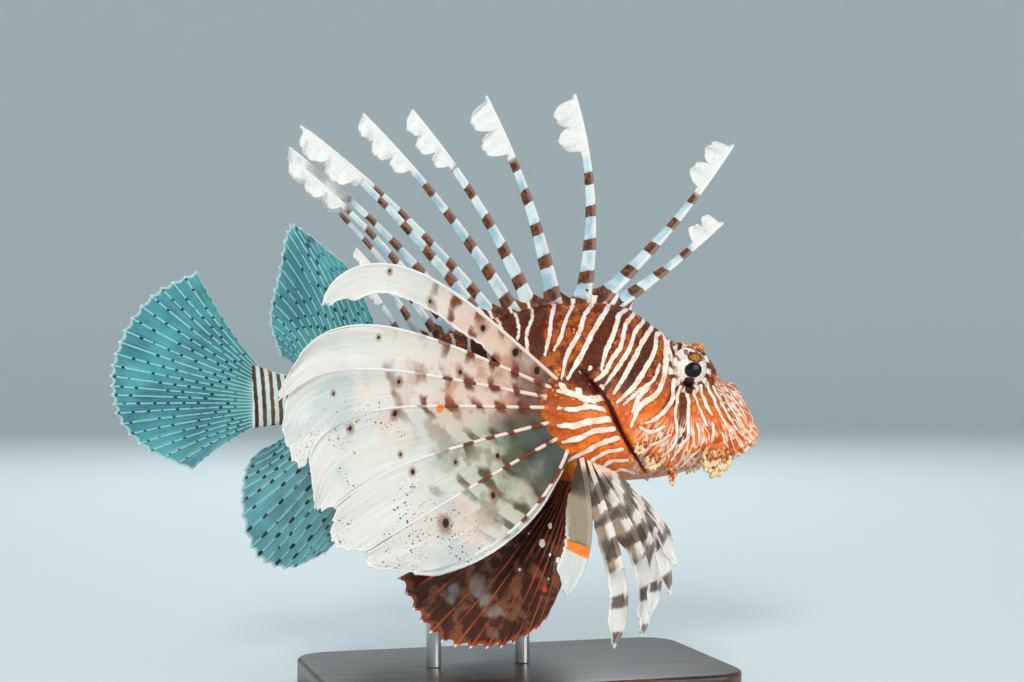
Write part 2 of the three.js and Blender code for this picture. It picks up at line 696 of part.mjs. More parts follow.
const finish = (colour, roughness) =>
  new THREE.MeshStandardMaterial({ color: colour, roughness, metalness: 0 });
const FINISH = {
  skin: finish(0xb4562c, 0.45),
  eye: finish(0xe8e2d6, 0.15),
  spines: finish(0xc9b8ae, 0.5),
  clearFin: finish(0x7fb9bd, 0.4),
  pectoral: finish(0xe6e0d8, 0.5),
  pelvic: finish(0x4a2a22, 0.5),
  wood: finish(0x4b3527, 0.5),
  steel: new THREE.MeshStandardMaterial({ color: 0xb9bcc0, roughness: 0.35, metalness: 1 }),
};

const root = new THREE.Group();
const fish = new THREE.Group();
fish.position.z = LIFT;
root.add(fish);

function node(parent, name, geometry, material) {
  const mesh = new THREE.Mesh(geometry, material);
  mesh.name = name;
  parent.add(mesh);
}

node(fish, "head", geometryOf(headSolid()), FINISH.skin);
node(fish, "torso", geometryOf(torsoSolid()), FINISH.skin);
node(fish, "tail_stalk", geometryOf(tailStalkSolid()), FINISH.skin);
node(fish, "spiny_dorsal_fin", geometryOf(spinyDorsalSolid()), FINISH.spines);
node(fish, "soft_dorsal_fin", geometryOf(softDorsalSolid()), FINISH.clearFin);
node(fish, "anal_fin", geometryOf(analSolid()), FINISH.clearFin);
node(fish, "caudal_fin", geometryOf(caudalSolid()), FINISH.clearFin);
for (const [side, word] of [[-1, "right"], [1, "left"]]) {
  node(fish, `eye_${word}`, eyeball(side), FINISH.eye);
  node(fish, `pelvic_fin_${word}`, geometryOf(pelvicSolid(side)), FINISH.pelvic);
  node(
    fish,
    `pectoral_fan_${word}`,
    geometryOf(pectoralSolid(side, 0, UPPER_RAYS - 1, 1)),
    FINISH.pectoral,
  );
  node(
    fish,
    `pectoral_rays_${word}`,
    geometryOf(pectoralSolid(side, UPPER_RAYS, PECTORAL_RAYS.length - 1, -1)),
    FINISH.pectoral,
  );
}
node(root, "stand_base", baseGeometry(), FINISH.wood);
node(fish, "stand_rod_front", geometryOf(rodSolid(ROD.frontX)), FINISH.steel);
node(fish, "stand_rod_rear", geometryOf(rodSolid(ROD.rearX)), FINISH.steel);

export default root;
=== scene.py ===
# %% [markdown]
# # A red lionfish for a museum showcase
#
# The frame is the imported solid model. This lesson dresses it: one skin for the whole body,
# finer fins and spines, painted eyes, and a real-looking stand. Lengths here are in
# millimetres in the fish's own frame, where z = 0 is a level line through the brow. The
# helper `world` turns them into the frame's metres, with the fish lifted on to its stand.

import math

import bmesh
import bpy
import numpy as np
from mathutils import Matrix, Vector, noise

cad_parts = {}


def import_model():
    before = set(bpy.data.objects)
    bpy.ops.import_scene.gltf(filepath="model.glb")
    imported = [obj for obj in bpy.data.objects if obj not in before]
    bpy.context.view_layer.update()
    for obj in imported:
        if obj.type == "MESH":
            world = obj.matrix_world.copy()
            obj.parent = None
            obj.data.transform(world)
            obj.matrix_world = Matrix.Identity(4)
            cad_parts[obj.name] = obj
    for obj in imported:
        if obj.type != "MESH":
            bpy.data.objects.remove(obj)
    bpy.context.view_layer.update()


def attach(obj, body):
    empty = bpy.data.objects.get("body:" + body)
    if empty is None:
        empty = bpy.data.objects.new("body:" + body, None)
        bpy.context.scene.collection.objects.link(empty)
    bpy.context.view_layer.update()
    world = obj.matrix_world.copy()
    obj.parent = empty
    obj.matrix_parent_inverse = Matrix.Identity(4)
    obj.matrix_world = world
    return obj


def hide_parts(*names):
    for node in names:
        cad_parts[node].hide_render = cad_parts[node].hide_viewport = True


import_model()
LIFT = 148.0  # floor to the fish's own z = 0


def world(points):
    """Millimetres in the fish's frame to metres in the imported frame."""
    moved = np.array(points, dtype=float)
    moved[..., 2] += LIFT
    return moved / 1000.0


# %% [markdown]
# ## Camera, light and floor
#
# The photo looks at the fish's right side with the head turned about 16 degrees away, from
# near enough that the tail looks a little large. A camera 0.8 m off with a 65.6 mm lens
# gives that view. A showcase is lit softly: one big key lamp from the camera's left, a
# wide fill, and a rim lamp behind that lets the thin fins glow at their edges.

# %% Camera, light and floor
TURN, DISTANCE, LENS = math.radians(16), 0.8, 65.6  # angle, metres, millimetres
AIM = Vector((-0.0015, 0.0, LIFT / 1000))


def add_object(name, data, place=(0, 0, 0), look=None):
    """A new object in the scene. With a look, it faces that way, as a camera or lamp does."""
    made = bpy.data.objects.new(name, data)
    made.location = place
    if look is not None:
        made.rotation_euler = look.to_track_quat("-Z", "Y").to_euler()
    bpy.context.scene.collection.objects.link(made)
    return made


def settle(bm, name):
    """Turns a bmesh into a smooth object at the origin."""
    mesh = bpy.data.meshes.new(name)
    bm.to_mesh(mesh)
    bm.free()
    mesh.shade_smooth()
    return add_object(name, mesh)


def lamp(name, place, size, power, colour):
    data = bpy.data.lights.new(name, "AREA")
    data.size, data.energy, data.color = size, power, colour
    add_object(name, data, place, AIM - Vector(place))


camera_data = bpy.data.cameras.new("showcase_camera")
camera_data.lens, camera_data.sensor_width = LENS, 36
ahead = Vector((math.sin(TURN), math.cos(TURN), 0))
camera = add_object("showcase_camera", camera_data, AIM - ahead * DISTANCE, ahead)
bpy.context.scene.camera = camera
bpy.context.scene.view_settings.view_transform = "Standard"
lamp("key", (-0.8, -1.6, 1.1), 0.5, 25, (1, 0.965, 0.92))
lamp("fill", (1.1, -1.5, 0.15), 1.0, 14, (1, 0.95, 0.88))
lamp("rim", (0.3, 1.4, 1.2), 0.8, 12, (0.9, 0.97, 1))

backdrop = bpy.data.worlds.new("backdrop")
backdrop.use_nodes = True
air = backdrop.node_tree.nodes["Background"].inputs
air["Color"].default_value = (0.88, 0.93, 0.95, 1)
air["Strength"].default_value = 0.5
bpy.context.scene.world = backdrop

# The floor runs up into a round wall far behind, so that no horizon shows from any side.
FLAT, SWEEP, RING_STEP = 2.6, 1.2, 0.18  # metres: flat part, radius of the bend, between rings
bm = bmesh.new()
bmesh.ops.create_circle(bm, cap_ends=True, cap_tris=True, radius=0.001, segments=96)
rim = [e for e in bm.edges if e.is_boundary]
for k in range(1, 34):
    run = RING_STEP * k
    bend = min(max(run - FLAT, 0) / SWEEP, math.pi / 2)
    reach = min(run, FLAT) + SWEEP * math.sin(bend)
    rise = SWEEP * (1 - math.cos(bend)) + max(run - FLAT - SWEEP * math.pi / 2, 0)
    grown = bmesh.ops.extrude_edge_only(bm, edges=rim)["geom"]
    rim = [e for e in grown if isinstance(e, bmesh.types.BMEdge)]
    for v in {v for e in rim for v in e.verts}:
        flat = Vector((v.co.x, v.co.y, 0)).normalized() * reach
        v.co = Vector((flat.x, flat.y, rise))
bmesh.ops.recalc_face_normals(bm, faces=bm.faces)
floor = settle(bm, "floor")
print("camera at", [round(x, 3) for x in camera.location])

# %% [markdown]
# ## Small tools for curves
#
# A body line is a short list of (place, value) pairs with a smooth curve through them that
# never overshoots. `ease` is a soft step from 0 to 1, and `hill` is a smooth bump. Almost
# every form on this fish is made of these three.

# %% Small tools for curves


def through(points):
    xs, ys = (np.array(c, dtype=float) for c in zip(*points))
    step = np.diff(xs)
    slope = np.diff(ys) / step
    tangent = np.zeros_like(xs)
    tangent[0], tangent[-1] = slope[0], slope[-1]
    for i in range(1, len(xs) - 1):
        a, b = slope[i - 1], slope[i]
        tangent[i] = 0 if a * b <= 0 else 2 * a * b / (a + b)

    def curve(x):
        x = np.clip(np.asarray(x, dtype=float), xs[0], xs[-1])
        i = np.clip(np.searchsorted(xs, x, side="right") - 1, 0, len(xs) - 2)
        h = step[i]
        t = (x - xs[i]) / h
        t2, t3 = t * t, t * t * t
        return (
            ys[i] * (2 * t3 - 3 * t2 + 1)
            + h * tangent[i] * (t3 - 2 * t2 + t)
            + ys[i + 1] * (3 * t2 - 2 * t3)
            + h * tangent[i + 1] * (t3 - t2)
        )

    return curve


def ease(x, start, end):
    t = np.clip((np.asarray(x, dtype=float) - start) / (end - start), 0, 1)
    return t * t * (3 - 2 * t)


def hill(x, centre, width):
    return np.exp(-(((np.asarray(x, dtype=float) - centre) / width) ** 2))


def mix(a, b, t):
    return a + (b - a) * t


def unit(v):
    return v / np.maximum(np.linalg.norm(v, axis=-1, keepdims=True), 1e-9)


def spread(*parts):
    """Stacks arrays that broadcast against each other into one array of points."""
    return np.stack(np.broadcast_arrays(*parts), -1)


def turn(degrees):
    """Cosine and sine of an angle in degrees."""
    return math.cos(math.radians(degrees)), math.sin(math.radians(degrees))


def ripple(seed, x, y=0.0, z=0.0):
    """Smooth seeded noise, about -1 to 1, for one point."""
    return noise.noise(Vector((x + 17.3 * seed, y - 5.1 * seed, z + 2.7 * seed)))


print("ease at quarters", [round(float(ease(q, 0, 1)), 2) for q in (0, 0.25, 0.5, 0.75, 1)])

# %% [markdown]
# ## A grid that becomes anything
#
# Skins and fins are both sheets, so both start from the same operator, a bmesh grid, whose
# points are then carried to their places. Every place also carries paint: numbers kept on
# the mesh as attributes, which the materials read later. A fin gets its thickness from a
# Solidify modifier that follows a vertex group, so its rays stand up from its membrane.

# %% A grid that becomes anything


MOST = 3.0  # mm, the thickness that a weight of 1 stands for


def sheet(name, places, uv, paint=None, thickness=None, closed=False):
    """A grid with its points at places, in mm, and with paint: a name to a number at each."""
    columns, rows = places.shape[0] - 1, places.shape[1] - 1
    bm = bmesh.new()
    bmesh.ops.create_grid(bm, x_segments=columns, y_segments=rows, size=0.5)
    piece = settle(bm, name)
    mesh = piece.data
    flat = np.empty(len(mesh.vertices) * 3)
    mesh.vertices.foreach_get("co", flat)
    i, j = (np.rint((flat[k::3] + 0.5) * count).astype(int) for k, count in enumerate((columns, rows)))
    mesh.vertices.foreach_set("co", world(places[i, j]).ravel())
    for key, values in (paint or {}).items():
        values = np.broadcast_to(values, places.shape[:2])[i, j].astype(float)
        mesh.attributes.new(key, "FLOAT", "POINT").data.foreach_set("value", values)
    corner = np.empty(len(mesh.loops), dtype=np.int32)
    mesh.loops.foreach_get("vertex_index", corner)
    layer = mesh.uv_layers.new(name="UVMap")
    layer.data.foreach_set("uv", uv[i[corner], j[corner]].ravel())
    if closed:
        bm = bmesh.new()
        bm.from_mesh(mesh)
        bmesh.ops.remove_doubles(bm, verts=bm.verts, dist=2e-6)
        bmesh.ops.recalc_face_normals(bm, faces=bm.faces)
        bm.to_mesh(mesh)
        bm.free()
    if thickness is not None:
        group = piece.vertex_groups.new(name="thickness")
        for index, share in enumerate(np.broadcast_to(thickness, places.shape[:2])[i, j] / MOST):
            group.add([index], float(share), "REPLACE")
    return piece


def fuse(name, pieces):
    """Joins several sheets into one object."""
    with bpy.context.temp_override(active_object=pieces[0], selected_editable_objects=pieces):
        bpy.ops.object.join()
    pieces[0].name = name
    return pieces[0]


def thicken(piece):
    """Gives a sheet two faces, as far apart as its painted thickness says."""
    wall = piece.modifiers.new("thickness", "SOLIDIFY")
    wall.thickness, wall.offset = MOST / 1000, 0
    wall.vertex_group, wall.use_quality_normals = "thickness", True
    return piece


def dress(piece, material, slot, *nodes):
    """Gives a piece its material and hides the solids it stands for. The slot is not used."""
    piece.data.materials.clear()
    piece.data.materials.append(material)
    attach(piece, "root")
    if nodes:
        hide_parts(*nodes)


print("thickness is painted up to", MOST, "mm")

# %% [markdown]
# ## A small paint box for materials
#
# A material is a graph of nodes. A `Wire` keeps the wiring short: plain sums on wires add
# Math nodes, `soft` turns a number into a soft mask, and `blend` mixes two colours. A
# `PaintBox` holds one material: `spots` and `cloud` are its Voronoi and Noise textures, and
# `paint` reads a number laid on the mesh.

# %% A small paint box for materials


def rgb(code):
    """A colour as seen on screen, such as c0ffee, to the linear values a shader wants."""
    parts = [int(code[k : k + 2], 16) / 255 for k in (0, 2, 4)]
    return tuple(c / 12.92 if c <= 0.04045 else ((c + 0.055) / 1.055) ** 2.4 for c in parts) + (1.0,)


def put(socket, source):
    """Links a wire to a socket, or sets the socket to a number or a colour."""
    if isinstance(source, Wire):
        source.tree.links.new(source.socket, socket)
    elif source is not None:
        socket.default_value = rgb(source) if isinstance(source, str) else source


def grow(tree, kind, settings=None, **inputs):
    """Adds a node to a material's graph."""
    made = tree.nodes.new(kind)
    for key, setting in (settings or {}).items():
        setattr(made, key, setting)
    for key, source in inputs.items():
        put(made.inputs[key.replace("_", " ")], source)
    return made


class Wire:
    """A number or a colour on its way through a graph."""

    def __init__(self, socket):
        self.socket, self.tree = socket, socket.id_data

    def soft(self, start, end):
        edge = {"Value": self, "From_Min": start, "From_Max": end}
        made = grow(self.tree, "ShaderNodeMapRange", {"interpolation_type": "SMOOTHSTEP"}, **edge)
        return Wire(made.outputs["Result"])


def compute(operation, *values):
    """A Math node on values of which one at least is a wire."""
    tree = next(v.tree for v in values if isinstance(v, Wire))
    made = grow(tree, "ShaderNodeMath", {"operation": operation})
    for socket, value in zip(made.inputs, values):
        put(socket, value)
    return Wire(made.outputs[0])


SUMS = {"add": "ADD", "sub": "SUBTRACT", "mul": "MULTIPLY", "truediv": "DIVIDE", "pow": "POWER"}
for word, operation in {**SUMS, "mod": "MODULO"}.items():
    setattr(Wire, f"__{word}__", lambda a, b, made=operation: compute(made, a, b))
    setattr(Wire, f"__r{word}__", lambda a, b, made=operation: compute(made, b, a))


def sine(x):
    return compute("SINE", x)


def most(a, b):
    return compute("MAXIMUM", a, b)


def least(a, b):
    return compute("MINIMUM", a, b)


def blend(share, a, b):
    made = grow(share.tree, "ShaderNodeMix", {"data_type": "RGBA"})
    first, second = (s for s in made.inputs if s.type == "RGBA")
    for socket, source in ((made.inputs[0], share), (first, a), (second, b)):
        put(socket, source)
    return Wire(next(s for s in made.outputs if s.type == "RGBA"))


class PaintBox:
    def __init__(self, name):
        self.material = bpy.data.materials.new(name)
        self.material.use_nodes = True
        self.tree = self.material.node_tree
        self.shader = self.tree.nodes["Principled BSDF"]
        corner = grow(self.tree, "ShaderNodeTexCoord")
        self.uv, self.place = Wire(corner.outputs["UV"]), Wire(corner.outputs["Object"])

    def paint(self, name):
        return Wire(grow(self.tree, "ShaderNodeAttribute", {"attribute_name": name}).outputs["Fac"])

    def split(self, vector):
        return [Wire(part) for part in grow(self.tree, "ShaderNodeSeparateXYZ", Vector=vector).outputs]

    def join(self, x, y, z=0.0):
        return Wire(grow(self.tree, "ShaderNodeCombineXYZ", X=x, Y=y, Z=z).outputs[0])

    def cloud(self, scale, detail=2.0, vector=None):
        place = vector or self.place
        made = grow(self.tree, "ShaderNodeTexNoise", Vector=place, Scale=scale, Detail=detail)
        return Wire(made.outputs["Fac"])

    def spots(self, scale):
        made = grow(self.tree, "ShaderNodeTexVoronoi", Vector=self.place, Scale=scale)
        return Wire(made.outputs["Distance"])

    def relief(self, height, distance, strength=1.0):
        bump = grow(self.tree, "ShaderNodeBump", Height=height, Distance=distance, Strength=strength)
        put(self.shader.inputs["Normal"], Wire(bump.outputs[0]))

    def finish(self, colour, roughness, **extra):
        for key, source in {"Base_Color": colour, "Roughness": roughness, **extra}.items():
            put(self.shader.inputs[key.replace("_", " ")], source)
        return self.material


pale = PaintBox("pale_floor")
floor.data.materials.append(pale.finish("d8e3e6", 0.8))
print("floor colour", [round(c, 2) for c in rgb("d8e3e6")[:3]])

# %% [markdown]
# ## The body's lines
#
# These are the same lines as in the solids: the back, the belly, the half width and the
# height of the widest place, all against x from the tail's base to the snout. On top of
# them lies the relief: the gill cover and its slit, the fleshy base of the pectoral fin,
# the rim round the eye, the bony ridge of the cheek, the lips and the nostrils.

# %% The body's lines
SNOUT_X, TAIL_X, SNOUT_Z = 112.0, -113.0, -41.5
EYE = {"x": 74.6, "y": 10.9, "z": -11.7, "radius": 8.7, "depth": 6.6}
GILL_TOP = (26.0, -16.0)
GILL_SLOPE = 0.68

back_line = through([
    (-113, -9.5), (-98, -14), (-75, -10), (-50, -3.5), (-25, 4.5), (0, 12.5), (20, 16.3),
    (38, 16.5), (50, 14.5), (58, 9.8), (66, 4.2), (72, 0), (80, -2.5), (86, -5.2),
    (89.5, -9.6), (92, -16), (95, -17.3), (99, -18.6), (104, -24.5), (109, -31.5), (112, -36),
])
belly_line = through([
    (-113, -36), (-98, -34.6), (-75, -40.5), (-50, -48), (-25, -55.5), (0, -60.5),
    (20, -62.5), (45, -61), (62, -60), (74, -58), (86, -55), (98, -52), (106, -49.5),
    (112, -47),
])
half_width = through([
    (-113, 2.6), (-98, 4.6), (-75, 8.5), (-50, 13), (-25, 17.5), (0, 20.5), (22, 21.8),
    (40, 21.5), (55, 19.5), (68, 16.8), (80, 14.6), (90, 12.4), (98, 11), (104, 9.8),
    (112, 8.5),
])
widest_line = through([
    (-113, -23), (-75, -24), (-25, -23), (10, -24), (40, -29), (65, -33), (85, -36),
    (100, -39), (112, -41.5),
])


def mouth_line(x):
    return SNOUT_Z - (SNOUT_X - x) * 0.56


def ahead_of_gill(x, z):
    return (x - (GILL_TOP[0] + GILL_SLOPE * (GILL_TOP[1] - z))) / math.hypot(1, GILL_SLOPE)


# The rear edge of the lumpy snout, as x against z.
snout_edge = through([
    (-46, 106), (-41.5, 98.8), (-36.7, 94.5), (-30, 90), (-24, 88), (-19, 87), (-12, 90),
])
# Short ridges in the fin's fleshy base, one leading to each pectoral ray.
KNUCKLES = [
    ((21, -24), (10, -17.5)), ((20, -27), (8, -21)), ((19, -30), (7, -25)), ((19, -33), (7, -28.5)),
    ((20, -37), (9, -35)), ((22, -41), (12, -41.5)), ((25, -44), (15, -47)), ((28, -46), (22, -52)),
    ((31, -48), (26, -54)), ((34, -50), (30, -56)), ((37, -52), (34, -57)),
]


def skin_relief(x, z, sideways, closing):
    """Millimetres outwards at a side-view place."""
    height = ease(z, -58, -50) * (1 - ease(z, -16, -6))
    ahead = ahead_of_gill(x, z)
    cover = 1.7 * ease(ahead, 0.2, 1.4) * (1 - ease(ahead, 8, 28)) * height
    slit = -2.2 * hill(ahead, -0.5, 0.8) * height
    fin_base = 3.2 * hill(x, 22, 13) * hill(z, -38, 17) * (1 - ease(ahead, -2, 0.5))
    orbit = np.hypot(x - EYE["x"], z - EYE["z"])
    rim = 2.4 * hill(orbit, 9.4, 1.9) - 3.4 * (1 - ease(orbit, 6.5, 9.2))
    ridge = 1.3 * hill(z, -27 + 0.06 * (x - 60), 1.8) * ease(x, 44, 56) * (1 - ease(x, 90, 96))
    second = 0.7 * hill(z, -41 + 0.1 * (x - 60), 2) * ease(x, 42, 50) * (1 - ease(x, 74, 84))
    tear = 1.5 * hill(x, 88, 7) * hill(z, -36, 11)
    jaw = 1.1 * hill(x, 96, 4) * hill(z, -44, 5)
    lip = z - mouth_line(x)
    lips = (1.2 * hill(np.abs(lip), 1.9, 1.1) - 1.6 * hill(lip, 0, 0.55)) * ease(x, 95, 99)
    nostril = 0
    for nx, nz, size in ((90.5, -21, 1.1), (95, -23, 0.9)):
        away = np.hypot(x - nx, z - nz) / size
        nostril = nostril + 0.8 * hill(away, 1.3, 0.5) - 1.6 * hill(away, 0, 0.8)
    pad = ease(x - snout_edge(z), -0.3, 1.6) * (1 - ease(z, -20, -15))
    groove = hill(x - snout_edge(z), -0.4, 0.9) * (1 - ease(z, -20, -16))
    step = 0.9 * pad * (1 - ease(x, 99, 106)) - 0.9 * groove
    knuckle = 0
    for (x0, z0), (x1, z1) in KNUCKLES:
        dx, dz = x1 - x0, z1 - z0
        t = np.clip(((x - x0) * dx + (z - z0) * dz) / (dx ** 2 + dz ** 2), 0, 1)
        away = np.hypot(x - x0 - t * dx, z - z0 - t * dz)
        knuckle = knuckle + 0.9 * hill(away, 0, 1.1)
    side = cover + slit + fin_base + rim + ridge + second + tear + jaw + nostril + step + knuckle
    return side * sideways * closing + lips * closing


def brow_rise(x, y):
    return (3.6 * hill(np.abs(y), 9, 3.2) - 1.6 * hill(y, 0, 4.5)) * hill(x, 79, 8.5)


def skin_ring(x, angles, bare=False):
    """One ring of the body at x. A bare ring has none of the relief."""
    reach = (x - (SNOUT_X - 9)) / 9
    closing = 1.0 if reach <= 0 else math.sqrt(max(0.0, 1 - reach * reach))
    middle = mix(SNOUT_Z, float(widest_line(x)), closing)
    upper = (float(back_line(x)) - float(widest_line(x))) * closing
    lower = (float(widest_line(x)) - float(belly_line(x))) * closing
    width = float(half_width(x)) * closing
    c, s = np.cos(angles), np.sin(angles)
    narrow = np.where(s > 0, mix(1.12, 0.86, float(ease(x, 60, 80))), 0.92)
    y = width * np.sign(c) * np.abs(c) ** narrow
    rise = np.where(s > 0, upper, lower)
    z = middle + rise * np.sign(s) * np.abs(s) ** 0.95
    points = spread(x, y, z)
    if bare:
        return points
    outward = unit(spread(0, y / max(width, 1) ** 2, (z - middle) / np.maximum(rise, 1) ** 2))
    points = points + outward * skin_relief(x, z, np.abs(c) ** 0.6, closing)[..., None]
    points[:, 2] += np.where(s > 0, brow_rise(x, y) * s * closing, 0)
    return points


print("body", SNOUT_X - TAIL_X, "mm without the tail fin")

# %% [markdown]
# ## Where the painter's lines go
#
# Lionfish are drawn in fine cream lines on maroon and orange. On a museum cast they are
# painted by hand with a fine brush, so each line here is one stroke: a few points in the
# side view, and a width. The body is unrolled first, so that a stroke keeps its width
# round the back and belly. Each skin point then learns how far it is from the nearest
# stroke, and the material turns that distance into a crisp but slightly unsteady edge.

# %% Where the painter's lines go
ROUND = np.radians(np.linspace(-90, 90, 73))


def unroll(x, z):
    """How far round the body, in mm from the widest line, a side-view place is."""
    ring = skin_ring(x, ROUND, bare=True)
    along = np.concatenate([[0], np.cumsum(np.linalg.norm(np.diff(ring, axis=0), axis=1))])
    along -= along[len(ROUND) // 2]
    return float(np.interp(z, ring[:, 2], along))


# Cream strokes: half width in mm, then (x, z) points from the back down.
CREAM = [
    (0.9, (-88.5, -13), (-88, -24), (-89.5, -37)), (0.8, (-84, -12), (-83.5, -25), (-85, -38)),
    (0.8, (-78, -11), (-78, -25), (-79.5, -40)), (0.8, (-71, -9), (-71.5, -26), (-73, -41)),
    (0.8, (-64, -8), (-65, -26), (-66, -43)), (0.8, (-57, -6), (-58, -26), (-59, -45)),
    (0.8, (-50, -3), (-51, -20), (-51, -36), (-53, -47)),
    (0.8, (-43, -1), (-44.5, -20), (-44, -38), (-46, -49)),
    (0.8, (-36, 1), (-37, -12), (-36.5, -30), (-39, -50)),
    (0.8, (-29, 4), (-29.5, -10), (-29, -30), (-32, -53)),
    (0.8, (-22, 6), (-24, -7), (-22, -28), (-25, -54)),
    (0.8, (-14, 9), (-16, -5), (-14, -26), (-18, -56)),
    (0.8, (-9, 10.5), (-9, 4), (-8, -14), (-7, -34), (-11, -57)), (0.8, (-1, 12.5), (-2, 4), (-3.5, 0)),
    (0.8, (7, 14.5), (5, 10), (0.5, 1), (0, -16), (1, -36), (-3, -59)),
    (1.0, (17, 16.5), (13, 10), (10, 1), (7.5, -6)), (0.9, (26, 17), (19, 9), (15, 1), (11.5, -4)),
    (1.1, (35, 17), (28, 11), (23.5, 3), (17, -6), (14, -16)),
    (1.2, (42, 16.5), (34.5, 9), (29.5, 3), (23.5, -6), (16.5, -16)),
    (1.2, (52, 15), (44, 11), (40.5, 5), (34.5, -5), (31.5, -12.5)),
    (1.1, (54, 13), (46, 7), (42, -2), (37, -8), (33, -13.5), (27, -18)),
    (1.1, (60, 11), (50, 4), (45.5, -4), (39.5, -11), (33, -18.5)),
    (1.2, (63, 8), (54, 1), (49.5, -5), (43.5, -13), (36.5, -22.5)),
    (1.3, (69, 4), (62, 3), (58.5, -4), (52.5, -12), (46, -19.5), (38, -26)),
    (0.8, (60, -10), (56.5, -16.5), (49, -21), (41, -27)), (1.0, (53.5, -20), (48, -24.5), (45, -30)),
    (1.3, (66, 2), (63.5, -8), (61.5, -16), (57, -23), (49, -27.5), (44.5, -36)),
    (0.6, (69, 1), (66.5, -2), (66, -9), (66.5, -15)),
    (1.1, (66, -17), (66, -22), (63, -28), (57, -33), (51.5, -35)),
    (0.9, (69, -20), (67.5, -25), (66.5, -31), (67.3, -37), (67, -43), (63, -47.5), (58, -51)),
    (1.0, (72.3, -22), (73.2, -28), (73, -34), (73, -41), (70, -45), (66, -51)),
    (0.8, (75.5, -22), (77.5, -27), (80, -32), (82, -36.5)), (1.0, (79, -20), (81, -26), (84.5, -32)),
    (1.0, (83, -19), (85, -24), (87.5, -29), (90.5, -34.5), (95.5, -40.5)),
    (0.6, (86.5, -20), (89, -26), (93, -33), (97.5, -39)),
    (0.7, (89.5, -20), (92, -26), (96.5, -32), (99.5, -38)),
    (0.6, (92.5, -19.5), (96, -25), (100, -30), (103.5, -36)),
    (0.6, (96.5, -19), (100.5, -24), (104, -29.5), (107, -35)),
    (0.5, (100.5, -21.5), (104.5, -27), (108.5, -34)),
    (0.9, (49, -36.5), (54, -38.5), (61, -36.5)), (0.9, (50, -45), (59, -42.5), (64, -40)),
    (0.7, (50, -51), (57, -48), (62, -45)),
    (0.8, (77.5, -36), (78.5, -40), (79, -44)), (0.8, (85, -36), (85.5, -40), (85, -44)),
    (0.7, (90, -40), (91.5, -44), (91, -49)),
    (0.8, (80, -47), (76, -50), (72, -55)), (0.8, (72, -49), (70, -53), (66, -56)),
    # the pectoral fin's fleshy base, with lines that run back into the rays
    (1.6, (33, -24), (25, -24.5), (18, -22), (12, -21)),
    (1.2, (33, -29), (25, -27.5), (18, -28.5), (12, -28)),
    (1.5, (35, -33), (26, -33.5), (17, -35), (12, -35)),
    (1.3, (37, -37), (28, -37.5), (21, -40), (14, -42)),
    (1.3, (39, -41), (31, -43), (24, -46), (18, -50)),
    (1.1, (42, -46), (34, -47), (28, -51), (26, -57)),
    (1.1, (45, -51), (38, -51), (34, -54), (33, -59)), (1.1, (50, -57), (43, -55), (39, -59)),
    (1.5, (20.6, -20.8), (21.6, -20.9)), (1.3, (30.4, -20), (31.4, -19.6)),
    (1.1, (26.5, -23.6), (27.6, -23.8)),
    (1.5, (13.6, -18.6), (14.6, -19.2)), (0.7, (22, -13), (23, -13.4)), (0.7, (26, -12), (27, -11)),
]
# Dark bars: half width in mm, then points.
DARK = [
    (3.0, (-112, -9), (-111.5, -22), (-112, -36)),
    (4.5, (62, 9), (58, 3), (54, -5), (47, -13), (41, -20)),
    (2.6, (71, 1), (69.5, -8), (69.5, -16), (66, -24), (61, -29)),
    (2.0, (70.5, -20), (70.3, -28), (70, -36), (70, -42), (67, -48)),
    (4.0, (46, 14), (39, 7), (34, 0), (28, -8), (23, -16)),
    (3.5, (20, -12), (24, -18), (30, -20), (34, -17)),
    (1.2, (86, -17), (89, -24), (93, -31), (98, -38)),
    (5.5, (2, 16), (-4, 4), (-6, -12)), (5.5, (-14, 12), (-19, 0), (-18, -20)),
    (4.0, (11, 17), (5, 6), (3, -8)),
]
# The gill slit behind the gill cover, painted dark as the shade in its groove, in the same way.
GILL_SLIT_SHADE = [
    (1.1, (27, -17), (32, -22.5), (35.5, -28), (38.5, -34), (41.5, -39.5), (46, -46),
     (51, -52), (56, -57)),
]
BRUSH = 0.84  # fine strokes are laid this much thinner than they were measured


def stroke_points(stroke):
    """A stroke as closely spaced points on the unrolled body, with its half width at each."""
    half, *points = stroke
    half *= BRUSH if half < 2 else 1
    points = np.array(points, dtype=float)
    run = np.concatenate([[0], np.cumsum(np.linalg.norm(np.diff(points, axis=0), axis=1))])
    ask = np.linspace(0, run[-1], max(3, int(run[-1] / 1.2)))
    xs = through(list(zip(run, points[:, 0])))(ask)
    zs = through(list(zip(run, points[:, 1])))(ask)
    taper = 1 - 0.45 * ease(ask / run[-1], 0.75, 1) if run[-1] > 4 else 1 + 0 * ask
    return np.array([(x, unroll(x, z)) for x, z in zip(xs, zs)]), half * taper


def nearness(strokes, along, around):
    """Signed distance in mm from the edge of the nearest stroke, below 0 inside it."""
    nearest = np.full(along.shape, 30.0)
    for stroke in strokes:
        centres, half = stroke_points(stroke)
        for a, b, ha, hb in zip(centres[:-1], centres[1:], half[:-1], half[1:]):
            d = b - a
            t = ((along - a[0]) * d[0] + (around - a[1]) * d[1]) / max(float(d @ d), 1e-9)
            t = np.clip(t, 0, 1)
            away = np.hypot(along - a[0] - t * d[0], around - a[1] - t * d[1])
            nearest = np.minimum(nearest, away - mix(ha, hb, t))
    return nearest


print("strokes", len(CREAM), "cream,", len(DARK), "dark")

# %% [markdown]
# ## One skin for the whole body
#
# The solids are parted into head, torso and tail stalk by thin cuts. A real fish has none,
# so one closed skin stands for all three. Its rings stand closer in the head, where the
# lips, the eye's rim and the nostrils need fine points.

